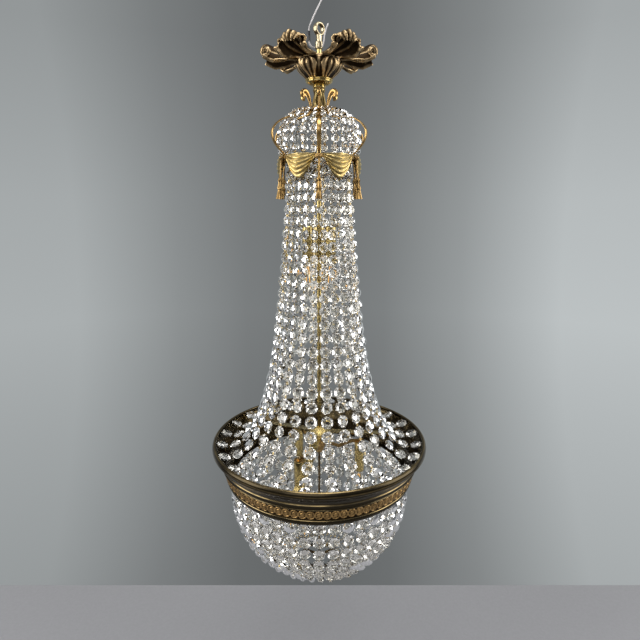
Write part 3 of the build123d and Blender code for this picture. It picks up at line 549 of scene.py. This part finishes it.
def fluted_neck(rows=36, columns=96):
    """A waisted profile times six flutes: radius falls by a share of one less the cosine of six
    times the angle, most at mid height; the flutes stand turned a little off the front."""
    down = np.linspace(0.0, 1.0, rows)[:, None]
    angle = 2 * np.pi * np.arange(columns)[None] / columns
    body = smooth_line(neck_profile, 8)
    swell = np.sin(np.pi * np.clip((down - 0.16) / 0.8, 0.0, 1.0)) ** 0.7
    flute = (0.5 - 0.5 * np.cos(repeats * angle + flute_turn)) * swell
    radius = np.interp(down, body[:, 0], body[:, 1]) * (1.0 - flute_share * flute)
    level = neck_top - neck_length * down + 0 * angle
    grid = np.stack([radius * np.cos(angle), radius * np.sin(angle), level], axis=-1)
    # Painted shade, with a little patina, in the flutes; the ridges between them are left lightest.
    return grid, np.clip(1.4 * flute + 0.38, 0.0, 1.0)


neck, neck_shade = fluted_neck()
neck_casting = surface("fluted_neck", neck[None], closed=True, capped=True, shade_and_patina=neck_shade)
dressed(neck_casting, yellow_brass, "brass", "neck_baluster")

# ---- crown disc, boss, nut and ring ----
# The disc holds the dome's strings and is slotted for the scroll arms, which a turned boss and a
# nut clamp to the stem. The arms carry a flat ring with a turned-down rim.

boss_profile = smooth_line((
    (0.0150, -0.1523), (0.0153, -0.1560), (0.0138, -0.1585), (0.0146, -0.1620), (0.0120, -0.1660),
), 5)
dressed(turned("arm_boss_turned", boss_profile), yellow_brass, "brass", "arm_boss")
brown_gold = metal_finish("brown_gold", (0.52, 0.33, 0.12), (0.07, 0.04, 0.015),
                          age=0.5, patch=50.0, polish=0.22, dullness=0.48)


def finished(finish, *nodes):
    """Gives a finish to pieces that keep the mesh that they have in the frame."""
    for node in nodes:
        frame["nodes"][node].data.materials.clear()
        frame["nodes"][node].data.materials.append(finish)


finished(brown_gold, "crown_disc", "crown_nut")
crown_level = -0.242
crown_section = np.array((
    (0.0585, 0.0), (0.0790, 0.0002), (0.0798, -0.0004), (0.0800, -0.0014), (0.0800, -0.0078),
    (0.0790, -0.0080), (0.0782, -0.0078), (0.0780, -0.0030), (0.0585, -0.0030), (0.0585, 0.0),
))
crown_rim = turned("crown_rim", crown_section + (0.0, crown_level), sides=96, capped=False)
dressed(crown_rim, brown_gold, "brass", "crown_ring")

# ---- scroll arms ----
# Six cast arms: from a curled tip beside the neck each runs down through the disc and out over the
# crystal dome, broadens on its way down and turns in to the crown ring.

arm_line = (
    (0.0345, -0.1262), (0.0382, -0.1246), (0.0390, -0.1205), (0.0360, -0.1172), (0.0312, -0.1172),
    (0.0268, -0.1215), (0.0235, -0.1290), (0.0208, -0.1390), (0.0190, -0.1500), (0.0225, -0.1560),
    (0.0330, -0.1600), (0.0480, -0.1630), (0.0650, -0.1675), (0.0840, -0.1740), (0.0985, -0.1840),
    (0.1065, -0.1960), (0.1065, -0.2080), (0.1010, -0.2200), (0.0920, -0.2310), (0.0800, -0.2412),
)
arm_widths = (
    (0.0, 6.0), (0.05, 8.0), (0.14, 7.0), (0.24, 5.0), (0.34, 4.4), (0.5, 4.6), (0.6, 5.5),
    (0.72, 8.5), (0.85, 9.0), (0.94, 7.0), (1.0, 5.0),
)
arm_depths = (
    (0.0, 9.0), (0.06, 9.5), (0.14, 7.6), (0.22, 8.0), (0.32, 6.4), (0.42, 4.0), (0.55, 4.8),
    (0.60, 3.2), (1.0, 3.2),
)


def scroll_arm():
    """A soft band, its width and depth in millimetres changing along the arm, carried down the
    smooth line; the share is of the points, not of the length."""
    path = smooth_line(arm_line, 6)
    path = np.stack([path[:, 0], np.zeros(len(path)), path[:, 1]], axis=-1)
    share = np.linspace(0.0, 1.0, len(path))
    depth = np.interp(share, *np.transpose(arm_depths))
    width = np.interp(share, *np.transpose(arm_widths))
    size = np.stack([depth, width], axis=-1)
    return carried(path, band_section(1.0, 1.0, points=16, power=3.0) * size[:, None] / 1000)


arms = surface("scroll_arms", around(scroll_arm(), repeats, 0.0), closed=True, capped=True)
dressed(arms, brown_gold, "brass", "crown_arms")

# ---- drapery swags ----
# Six stamped and gilt swags hooked over the ring between the tassels; the folds hang in curves
# from both top corners and meet at the middle, and each ends in a soft point.

satin_gilt = metal_finish("satin_gilt", (0.88, 0.69, 0.31), (0.12, 0.08, 0.025),
                          age=0.20, patch=70.0, polish=0.28, dullness=0.5, bump=0.15)
swag_radius, swag_half_angle = 0.0812, 25.0
swag_drop, swag_sheet = 0.048, 0.0012
swag_top = crown_level + 0.0005
fold_depth, crease_depth, belly_depth = 0.0030, 0.00022, 0.0052


def swag(rows=64, columns=45):
    """Across from -1 to 1 and down from 0 to 1. The foot falls with one less the 1.9 power of
    across; rows are its scaled copies, so folds, a sharpened sine of down, hang as the foot does."""
    across = np.linspace(-1.0, 1.0, columns)[None]
    down = np.linspace(0.0, 1.0, rows)[:, None]
    foot = 0.22 + 0.78 * (1.0 - np.abs(across) ** 1.9)
    phase = 5.5 * down + 0.35 * np.abs(across)
    fold = 1.0 - np.abs(np.sin(np.pi * phase)) ** 0.8
    fine = np.sin(2 * np.pi * 3.0 * phase + 9.0 * across)
    middle = np.cos(np.pi * across / 2)
    belly = belly_depth * middle * np.sin(np.pi * np.clip(down * 0.9 + 0.1, 0, 1))
    reach = swag_radius + fold_depth * fold * (0.45 + 0.55 * middle) + crease_depth * fine + belly
    angle = np.radians(swag_half_angle * across * (1.0 - 0.16 * down**2))
    level = swag_top - swag_drop * foot * down + 0 * angle
    # Painted shade, with some patina, in the troughs between the folds; painted highlights on the fold
    # crests and a little across the middle.
    shade_and_patina = np.clip(0.96 - 1.5 * fold - 0.12 * middle, 0.0, 1.0) ** 1.3
    return np.stack([reach * np.cos(angle), reach * np.sin(angle), level], axis=-1), shade_and_patina


drape, drape_shade = swag()
swags = surface("drapery", around(drape, repeats, step / 2), shade_and_patina=drape_shade, sharp=80.0)
gauge = swags.modifiers.new("sheet_gauge", "SOLIDIFY")
gauge.thickness = swag_sheet
gauge.offset = -1.0
dressed(swags, satin_gilt, "satin_gold", "drapery_swags")

# ---- tassels ----
# Six cast tassels on the crown ring in front of the arms: a rosette, a thin cord, and two flared
# skirts of threads.

tassel_profile = (
    (0.0, 0.0012), (0.03, 0.0056), (0.06, 0.0052), (0.09, 0.0030), (0.12, 0.0022), (0.30, 0.0020),
    (0.47, 0.0024), (0.52, 0.0044), (0.56, 0.0050), (0.60, 0.0038), (0.66, 0.0040), (0.76, 0.0052),
    (0.78, 0.0043), (0.88, 0.0052), (1.0, 0.0068),
)
tassel_radius, tassel_lean = 0.0870, 0.0062
tassel_top, tassel_length = crown_level - 0.0025, 0.0840
cord_start, cord_end, skirt_start = 0.1, 0.47, 0.56


def tassel(rows=70, columns=36):
    """A turned profile times ripples: a cosine of nine times the angle on the skirts, and of three
    times the angle, winding down, on the cord. The axis leans out with the strings behind it."""
    down = np.linspace(0.0, 1.0, rows)[:, None]
    angle = 2 * np.pi * np.arange(columns)[None] / columns
    line = smooth_line(tassel_profile, 5)
    skirts = np.cos(9 * angle + 3.0 * down) * (down > skirt_start)
    twist = 0.6 * np.cos(3 * angle + 60.0 * down) * (down < cord_end) * (down > cord_start)
    ripple = skirts + twist
    radius = np.interp(down, line[:, 0], line[:, 1]) * (1.0 + 0.10 * ripple)
    reach = tassel_radius + tassel_lean * down + radius * np.cos(angle)
    level = tassel_top - tassel_length * down + 0 * angle
    # The shade value is painted shade in the grooves between the threads and the twists of the cord, and a
    # painted highlight on their ridges.
    return np.stack([reach, radius * np.sin(angle), level], axis=-1), np.clip(0.35 - 0.6 * ripple, 0.0, 1.0)


threads, thread_shade = tassel()
tassel_copies = around(threads, repeats, 0.0)
cast_tassels = surface("cast_tassels", tassel_copies, closed=True, capped=True, shade_and_patina=thread_shade)
dressed(cast_tassels, brown_gold, "satin_gold", "tassels")

# ---- strings of cut crystal ----
# Flat octagonal lead crystals, cut on both faces and pinned nose to tail with small brass loops.
# Every bead takes its place, length, width and thickness from its own lozenge in the frame.

lozenge_corners = 24


def bead_places(node):
    """Centre, three axes and three sizes of each lozenge of a node: 24 corners a lozenge, whose
    spread along an axis of full size s is s squared over 12."""
    mesh = frame["nodes"][node].data
    corners = np.empty(3 * len(mesh.vertices))
    mesh.vertices.foreach_get("co", corners)
    corners = corners.reshape(-1, lozenge_corners, 3)
    centre = corners.mean(axis=1)
    offset = corners - centre[:, None]
    spread, axes = np.linalg.eigh(np.einsum("nki,nkj->nij", offset, offset) / lozenge_corners)
    axes = np.swapaxes(axes, 1, 2)[:, ::-1]
    return centre, axes, np.sqrt(12 * spread[:, ::-1])


bead_gap = 0.0007
cut_sides = 8
cut_rows = ((0.34, 0.50, 0.0), (0.74, 0.34, 0.5), (1.0, 0.0, 0.0), (0.74, -0.34, 0.5), (0.34, -0.50, 0.0))


def cut_crystal():
    """One octagon crystal of radius one half: rows of eight corners from table to table, every other
    row turned half a side. A row has its share of the half width, its depth and its turn."""
    side = np.arange(cut_sides)
    rows = [
        np.stack([
            0.5 * share * np.cos(2 * np.pi * (side + 0.5 + turn) / cut_sides),
            0.5 * share * np.sin(2 * np.pi * (side + 0.5 + turn) / cut_sides),
            np.full(cut_sides, depth),
        ], axis=1)
        for share, depth, turn in cut_rows
    ]
    faces = [tuple(range(cut_sides)), tuple(len(cut_rows) * cut_sides - 1 - k for k in range(cut_sides))]
    for row, (_, _, turn) in enumerate(cut_rows[:-1]):
        low, high = row * cut_sides, (row + 1) * cut_sides
        for k in range(cut_sides):
            n = (k + 1) % cut_sides
            if turn == 0.0:
                faces += [(low + k, high + k, low + n), (low + n, high + k, high + n)]
            else:
                faces += [(low + k, high + k, high + n), (low + k, high + n, low + n)]
    return np.concatenate(rows), faces


def repeated(name, points, faces):
    """One flat-faced mesh of many copies (copies, points, 3) of the same faces."""
    count = points.shape[1]
    shifted = np.arange(len(points))[:, None] * count
    every = [row for face in faces for row in (shifted + np.array(face)[None]).tolist()]
    mesh = bpy.data.meshes.new(name)
    mesh.from_pydata(points.reshape(-1, 3).tolist(), [], every)
    mesh.update()
    piece = bpy.data.objects.new(name, mesh)
    scene.collection.objects.link(piece)
    return piece


def crystal_string(name, node, seed, wobble):
    """All the crystals of one node as one piece, each a little off its thread's own turn."""
    centre, axes, size = bead_places(node)
    shape, faces = cut_crystal()
    dice = np.random.default_rng(seed)
    turn = np.radians(dice.normal(0.0, wobble, len(centre)))[:, None]
    along, across, out = axes[:, 0], axes[:, 1], axes[:, 2]
    across, out = np.cos(turn) * across + np.sin(turn) * out, np.cos(turn) * out - np.sin(turn) * across
    width = size[:, 1, None, None]
    points = centre[:, None] + width * (
        shape[None, :, 0, None] * along[:, None] + shape[None, :, 1, None] * across[:, None]
    ) + size[:, 2, None, None] * shape[None, :, 2, None] * out[:, None]
    return repeated(name, points, faces)


pin_sides = 6
pin_bite, pin_half_wire = 0.0016, 0.00045
pin_width, pin_hole = 0.42, 0.72


def pin_loops(name, node):
    """A small wire loop over each gap between crystals: an oval of six corners, square in section,
    in the plane of the thread and the table, from one crystal's edge to the next one's."""
    centre, axes, size = bead_places(node)
    angle = 2 * np.pi * np.arange(pin_sides) / pin_sides
    gap = size[:, 0] - size[:, 1] * np.cos(np.pi / cut_sides)
    reach = (0.5 * gap + pin_bite)[:, None]
    loop = np.stack([np.cos(angle), pin_width * np.sin(angle)], axis=-1)
    rim = np.concatenate([loop, loop * pin_hole])
    rise = np.repeat([pin_half_wire, -pin_half_wire], 2 * pin_sides)
    end = centre + 0.5 * (size[:, :1] + bead_gap) * axes[:, 0]
    flat = np.concatenate([rim, rim])
    points = end[:, None] + reach[:, None] * (
        flat[None, :, :1] * axes[:, None, 0] + flat[None, :, 1:] * axes[:, None, 1]
    ) + rise[None, :, None] * axes[:, None, 2]
    hole, under, under_hole = pin_sides, 2 * pin_sides, 3 * pin_sides
    faces = []
    for k in range(pin_sides):
        n = (k + 1) % pin_sides
        faces += [
            (k, n, hole + n, hole + k), (under + n, under + k, under_hole + k, under_hole + n),
            (n, k, under + k, under + n), (hole + k, hole + n, under_hole + n, under_hole + k),
        ]
    return repeated(name, points, faces)


crystal = bpy.data.materials.new("cut_crystal")
crystal.use_nodes = True
nodes, links = crystal.node_tree.nodes, crystal.node_tree.links
skin = nodes["Principled BSDF"]
skin.inputs["IOR"].default_value = 1.66
skin.inputs["Transmission Weight"].default_value = 1.0
grey = nodes.new("ShaderNodeTexNoise")
grey.inputs["Scale"].default_value = 26.0
clear = nodes.new("ShaderNodeMix")
clear.data_type = "RGBA"
clear.inputs["A"].default_value = (0.94, 0.92, 0.87, 1.0)
clear.inputs["B"].default_value = (0.86, 0.83, 0.76, 1.0)
film = nodes.new("ShaderNodeMapRange")
film.inputs["To Min"].default_value = 0.0
film.inputs["To Max"].default_value = 0.05
place = nodes.new("ShaderNodeTexCoord")
links.new(place.outputs["Object"], grey.inputs["Vector"])
links.new(grey.outputs["Fac"], clear.inputs["Factor"])
links.new(grey.outputs["Fac"], film.inputs["Value"])
links.new(clear.outputs["Result"], skin.inputs["Base Color"])
links.new(film.outputs["Result"], skin.inputs["Roughness"])

pin_brass = metal_finish("pin_brass", (0.55, 0.42, 0.20), (0.10, 0.07, 0.03), age=0.5, patch=200.0)
for kind, node, seed, wobble in (
    ("crown", "crown_strands", 5, 7.0), ("skirt", "skirt_strands", 3, 9.0), ("bowl", "bowl_strands", 7, 8.0),
):
    dressed(crystal_string(kind + "_crystals", node, seed, wobble), crystal, "crystal", node)
    dressed(pin_loops(kind + "_pins", node), pin_brass, "brass")

# ---- basket ring ----
# A heavy bronze ring, spun: a rolled lip, a hollow cove, two bead lines, a seat for the frieze and
# a round foot with a flange inside that carries the bowl. Nearly black with patina; its edges carry
# painted highlights and are rubbed bright too.

basket_level = -0.884
ring_outside = (
    (0.2405, 0.0070), (0.2420, 0.0088), (0.2445, 0.0094), (0.2472, 0.0080), (0.2492, 0.0050),
    (0.2500, 0.0010), (0.2499, -0.0025), (0.2490, -0.0042), (0.2474, -0.0046), (0.2462, -0.0058),
    (0.2420, -0.0110), (0.2376, -0.0160), (0.2342, -0.0210), (0.2324, -0.0252), (0.2312, -0.0262),
    (0.2318, -0.0272), (0.2326, -0.0284), (0.2320, -0.0298), (0.2300, -0.0304), (0.2288, -0.0330),
    (0.2284, -0.0382), (0.2296, -0.0392), (0.2300, -0.0404), (0.2292, -0.0416), (0.2222, -0.0422),
    (0.2174, -0.0676), (0.2206, -0.0684), (0.2214, -0.0696), (0.2206, -0.0708), (0.2192, -0.0716),
    (0.2196, -0.0742), (0.2192, -0.0776), (0.2176, -0.0808),
)
ring_inside = (
    (0.2150, -0.0824), (0.2020, -0.0825), (0.2020, -0.0806), (0.2120, -0.0806), (0.2140, -0.0690),
    (0.2188, -0.0430), (0.2275, -0.0270), (0.2335, -0.0150), (0.2440, -0.0040), (0.2452, 0.0010),
    (0.2405, 0.0070),
)
ring_edges = np.array((0.0094, 0.0010, -0.0284, -0.0404, -0.0696))
edge_highlight_and_wear, edge_highlight_fade = 0.0003, 0.0016
ring_steps = 4
ring_line = np.array(ring_outside + ring_inside)
stations = np.concatenate([
    np.linspace(start, end, ring_steps, endpoint=False) for start, end in zip(ring_line, ring_line[1:])
])
edge_gap = np.min(np.abs(stations[:, 1:] - ring_edges), axis=1)
outside = np.arange(len(stations)) < ring_steps * len(ring_outside)
# Painted highlights, with some wear, along the lip and the bead lines, where the outside is otherwise at its
# darkest; the inside is kept a little less dark.
ring_shade = np.where(outside, np.clip((edge_gap - edge_highlight_and_wear) / edge_highlight_fade, 0.25, 1.0), 0.75)[:, None]
stations[:, 1] += basket_level
basket = turned("spun_basket_ring", stations, sides=168, capped=False, shade_and_patina=ring_shade, sharp=50.0)
ring_bronze = metal_finish("ring_bronze", (0.30, 0.22, 0.10), (0.045, 0.035, 0.020),
                           age=0.45, patch=30.0, polish=0.16, dullness=0.26, bump=0.05)
dressed(basket, ring_bronze, "dark_bronze", "basket_ring")

# ---- frieze ----
# A stamped and gilt strip round the seat: a chain of oval hoops between two edge lines, with two
# leaning leaves in each hoop.

frieze_units = 42
frieze_high, frieze_low = basket_level - 0.0428, basket_level - 0.0670
frieze_radius, frieze_taper, frieze_relief = 0.2236, 0.0047, 0.0038
pressed_long, pressed_wide, pressed_lean, pressed_off = 0.44, 0.25, -0.75, 0.20
hoop_long, hoop_high, hoop_line = 0.56, 0.92, 0.80


def pressed_leaf(u, v, at_u, at_v):
    """A rounded leaf with a crease: the root of one less the squares of the shares of its length
    and width, lower near its middle line."""
    a = (u - at_u) * np.cos(pressed_lean) + (v - at_v) * np.sin(pressed_lean)
    b = (v - at_v) * np.cos(pressed_lean) - (u - at_u) * np.sin(pressed_lean)
    body = 1.0 - (a / pressed_long) ** 2 - (b / pressed_wide) ** 2
    crease = 0.70 + 0.30 * np.clip(np.abs(b) / (0.3 * pressed_wide), 0.0, 1.0)
    return np.sqrt(np.clip(body, 0.0, 1.0)) * crease


def hoop(u, v, at):
    """An oval hoop: round in section about the oval that is the hoop line's share of its size."""
    out = np.sqrt(((u - at) / hoop_long) ** 2 + (v / hoop_high) ** 2)
    return np.sqrt(np.clip(1.0 - ((out - hoop_line) / (1.0 - hoop_line)) ** 2, 0.0, 1.0))


def frieze(rows=28, unit_columns=34):
    """Round the seat, u runs over each unit from -1 to 1 and v down it from -1 to 1. Height is the
    highest of the edge lines, the hoops at the unit's middle and ends, and the leaves in them."""
    column = np.arange(frieze_units * unit_columns)[None]
    angle = 2 * np.pi * column / column.size - np.pi / 2
    u = 2.0 * ((column / unit_columns) % 1.0) - 1.0
    v = np.linspace(-1.0, 1.0, rows)[:, None]
    places = (-1.0, 0.0, 1.0)
    hoops = [0.85 * hoop(u, v, at) for at in places]
    pairs = [pressed_leaf(u, v, at, side * pressed_off) for at in places for side in (-1, 1)]
    edges = 0.30 * (np.abs(v) > 0.93) + 0 * u
    height = np.maximum.reduce([edges, *hoops, *pairs])
    radius = frieze_radius - frieze_taper * (v + 1.0) / 2 + frieze_relief * height
    level = frieze_high + (frieze_low - frieze_high) * (v + 1.0) / 2 + 0 * angle
    # Painted shade, with some patina, in the recesses between hoops, leaves and edge lines; the raised
    # relief is left bright as a painted highlight.
    shade_and_patina = np.clip(1.25 - 1.35 * height, 0.0, 1.0)
    return np.stack([radius * np.cos(angle), radius * np.sin(angle), level], axis=-1), shade_and_patina


strip, strip_shade = frieze()
frieze_gilt = metal_finish("frieze_gilt", (0.58, 0.36, 0.14), (0.030, 0.018, 0.008),
                           age=0.35, patch=40.0, polish=0.26, dullness=0.5, bump=0.1)
band = surface("gilt_frieze", strip[None], closed=True, shade_and_patina=strip_shade, sharp=80.0)
dressed(band, frieze_gilt, "satin_gold", "frieze_band")

# ---- hub and straps ----
# At the foot of the stem a domed cap, a disc and a tapered cup; three flat bars run from the disc
# down to the ring's wall.

hub_cap = smooth_line((
    (0.0060, -0.8508), (0.0105, -0.8525), (0.0150, -0.8560), (0.0196, -0.8600), (0.0240, -0.8645),
    (0.0248, -0.8668),
), 5)
dressed(turned("hub_cap", hub_cap), yellow_brass, "brass", "hub_dome")
hub_plate = ((0.0300, -0.8671), (0.0309, -0.8680), (0.0309, -0.8700), (0.0300, -0.8709))
dressed(turned("hub_plate", hub_plate, sides=72), yellow_brass, "brass", "hub_disc")
hub_cup = smooth_line((
    (0.0222, -0.8711), (0.0222, -0.8780), (0.0215, -0.8830), (0.0190, -0.8900), (0.0150, -0.9000),
    (0.0105, -0.9100), (0.0086, -0.9149),
), 5)
dressed(turned("hub_cup", hub_cup), brown_gold, "dark_bronze", "hub_cone")
finished(yellow_brass, "ring_straps")

# ---- lamps ----
# Two groups of three candle lamps pointing down, the upper one on a plate and the lower one on
# arms: a brass sleeve, a holder inside it, and a clear candle bulb with four straight filaments.

finished(brown_gold, "lower_lamp_arms")
plate_profile = ((0.0412, -0.3830), (0.0420, -0.3836), (0.0420, -0.3856), (0.0412, -0.3860))
dressed(turned("lamp_plate", plate_profile, sides=72), yellow_brass, "brass", "upper_lamp_plate")
holder_white = plastic_finish("holder_white", (0.72, 0.70, 0.65), roughness=0.5)
bulb_glass = bpy.data.materials.new("bulb_glass")
bulb_glass.use_nodes = True
nodes, links = bulb_glass.node_tree.nodes, bulb_glass.node_tree.links
skin = nodes["Principled BSDF"]
skin.inputs["Base Color"].default_value = (1.0, 0.98, 0.94, 1.0)
skin.inputs["Transmission Weight"].default_value = 1.0
skin.inputs["IOR"].default_value = 1.45
smear = nodes.new("ShaderNodeTexNoise")
smear.inputs["Scale"].default_value = 60.0
film = nodes.new("ShaderNodeMapRange")
film.inputs["To Min"].default_value = 0.0
film.inputs["To Max"].default_value = 0.06
place = nodes.new("ShaderNodeTexCoord")
links.new(place.outputs["Object"], smear.inputs["Vector"])
links.new(smear.outputs["Fac"], film.inputs["Value"])
links.new(film.outputs["Result"], skin.inputs["Roughness"])

filament_amber = bpy.data.materials.new("filament_amber")
filament_amber.use_nodes = True
nodes, links = filament_amber.node_tree.nodes, filament_amber.node_tree.links
skin = nodes["Principled BSDF"]
skin.inputs["Emission Strength"].default_value = 0.9
amber = nodes.new("ShaderNodeMix")
amber.data_type = "RGBA"
amber.inputs["A"].default_value = (0.95, 0.42, 0.05, 1.0)
amber.inputs["B"].default_value = (1.0, 0.62, 0.12, 1.0)
grain = nodes.new("ShaderNodeTexNoise")
grain.inputs["Scale"].default_value = 500.0
place = nodes.new("ShaderNodeTexCoord")
links.new(place.outputs["Object"], grain.inputs["Vector"])
links.new(grain.outputs["Fac"], amber.inputs["Factor"])
links.new(amber.outputs["Result"], skin.inputs["Base Color"])
links.new(amber.outputs["Result"], skin.inputs["Emission Color"])

cap_metal = metal_finish("cap_metal", (0.70, 0.68, 0.62), (0.25, 0.22, 0.18), age=0.3, patch=120.0)
lamp_tops = {"upper": -0.386, "lower": -0.894}
sleeve_profile = (
    (0.0112, 0.0), (0.0120, -0.0006), (0.0120, -0.0732), (0.0114, -0.0740), (0.0110, -0.0732),
    (0.0110, -0.0006), (0.0112, 0.0),
)
holder_profile = (
    (0.0080, -0.0010), (0.0100, -0.0016), (0.0100, -0.0712), (0.0092, -0.0720), (0.0076, -0.0716),
    (0.0076, -0.0490), (0.0080, -0.0010),
)
glass_drop, glass_inside = 0.0730, 0.94
glass_shape = smooth_line((
    (0.0072, 0.0), (0.0078, -0.0030), (0.0120, -0.0160), (0.0163, -0.0300), (0.0175, -0.0400),
    (0.0160, -0.0510), (0.0110, -0.0620), (0.0052, -0.0700), (0.0018, -0.0740), (0.0003, -0.0748),
), 4)
cap_radius, cap_drop, cap_length = 0.0068, 0.0495, 0.0235
cap_shoulder = (0.0030, -0.0490)
thread_depth, thread_turns = 0.0003, 5
bulb_stem_profile = ((0.0040, -0.0735), (0.0022, -0.0800), (0.0016, -0.0860))
filament_top, filament_foot = (0.0022, -0.0850), (0.0062, -0.1230)
filament_width = 0.0013


def screw_cap(name, top, centre):
    """A turned cap: its radius changes by the thread's depth times the cosine of its turns."""
    down = np.linspace(0, 1, 41)
    radius = cap_radius + thread_depth * np.cos(2 * np.pi * thread_turns * down)
    thread = np.column_stack([radius, -cap_drop - cap_length * down])
    profile = np.vstack([cap_shoulder, thread]) + (0.0, top)
    return turned(name, profile, sides=32, centres=[centre])


def filaments(name, top, centre):
    """Four straight rods, a quarter turn apart, that spread downwards from the bulb's stem."""
    section = band_section(filament_width, filament_width, points=8, power=2.0)
    rods = []
    for spread in np.radians((45.0, 135.0, 225.0, 315.0)):
        out = np.array([np.cos(spread), np.sin(spread)])
        high = [*(centre + filament_top[0] * out), top + filament_top[1]]
        low = [*(centre + filament_foot[0] * out), top + filament_foot[1]]
        rods.append(carried(np.linspace(high, low, 5), section, side=(-out[1], out[0], 0.0)))
    return surface(name, np.stack(rods), closed=True, capped=True)


for group, top in lamp_tops.items():
    sockets = [joint for joint in frame["joints"] if joint["name"].startswith(group)]
    centres = [joint["pos_m"][:2] for joint in sockets]
    for kind, finish, slot, profile in (
        ("sleeves", yellow_brass, "brass", sleeve_profile),
        ("holders", holder_white, "holder_plastic", holder_profile),
    ):
        profile = np.array(profile) + (0.0, top)
        shells = turned(f"{group}_lamp_{kind}", profile, sides=32, centres=centres, capped=False)
        dressed(shells, finish, slot, f"{group}_{kind}")
    for joint, centre in zip(sockets, centres):
        body = joint["child"]
        glass = glass_shape + (0.0, top - glass_drop)
        glass = np.vstack([glass, glass[::-1] * (glass_inside, 1.0)])
        bulb = turned(f"{body}_glass", glass, sides=32, centres=[centre], capped=False, sharp=80.0)
        dressed(bulb, bulb_glass, "bulb_glass", body.replace("bulb_", "bulb_glass_"), body=body)
        cap = screw_cap(f"{body}_screw_cap", top, centre)
        dressed(cap, cap_metal, "cap_nickel", body.replace("bulb_", "bulb_cap_"), body=body)
        profile = np.array(bulb_stem_profile) + (0.0, top)
        bulb_stem = turned(f"{body}_stem", profile, sides=16, centres=[centre])
        dressed(bulb_stem, bulb_glass, "bulb_glass", body=body)
        dressed(filaments(f"{body}_filaments", top, centre), filament_amber, "bulb_glass", body=body)

# ---- foot of the bowl ----
# A thin rod from the hub carries a spoked gathering ring, where the bowl's strings end, and a
# small turned finial.

rod_radius = 0.0025
tie_rod = turned("tie_rod", [(rod_radius, level) for level in (-0.9052, -1.00, -1.10, -1.2118)], sides=24)
dressed(tie_rod, dark_bronze, "brass", "bottom_rod")
finished(dark_bronze, "bottom_ring")
finial = smooth_line((
    (0.0085, -1.2043), (0.0092, -1.2060), (0.0108, -1.2085), (0.0100, -1.2115), (0.0062, -1.2145),
    (0.0050, -1.2170), (0.0030, -1.2195), (0.0008, -1.2201),
), 5)
dressed(turned("turned_finial", finial), yellow_brass, "brass", "bottom_finial")

# ---- floor ----
# A plain pale floor under the hanging piece, ending at the line of the wall.

floor_level = -1.64
wall_line, near_line, left_line, right_line = 0.40, -8.0, -6.0, 6.0
corners = np.array([
    [[left_line, wall_line, floor_level], [right_line, wall_line, floor_level]],
    [[left_line, near_line, floor_level], [right_line, near_line, floor_level]],
])
floor = surface("floor", corners[None])
floor_grey = plastic_finish("floor_grey", (0.27, 0.27, 0.28), roughness=0.6)
floor.data.materials.append(floor_grey)

scene.view_settings.view_transform = "Standard"
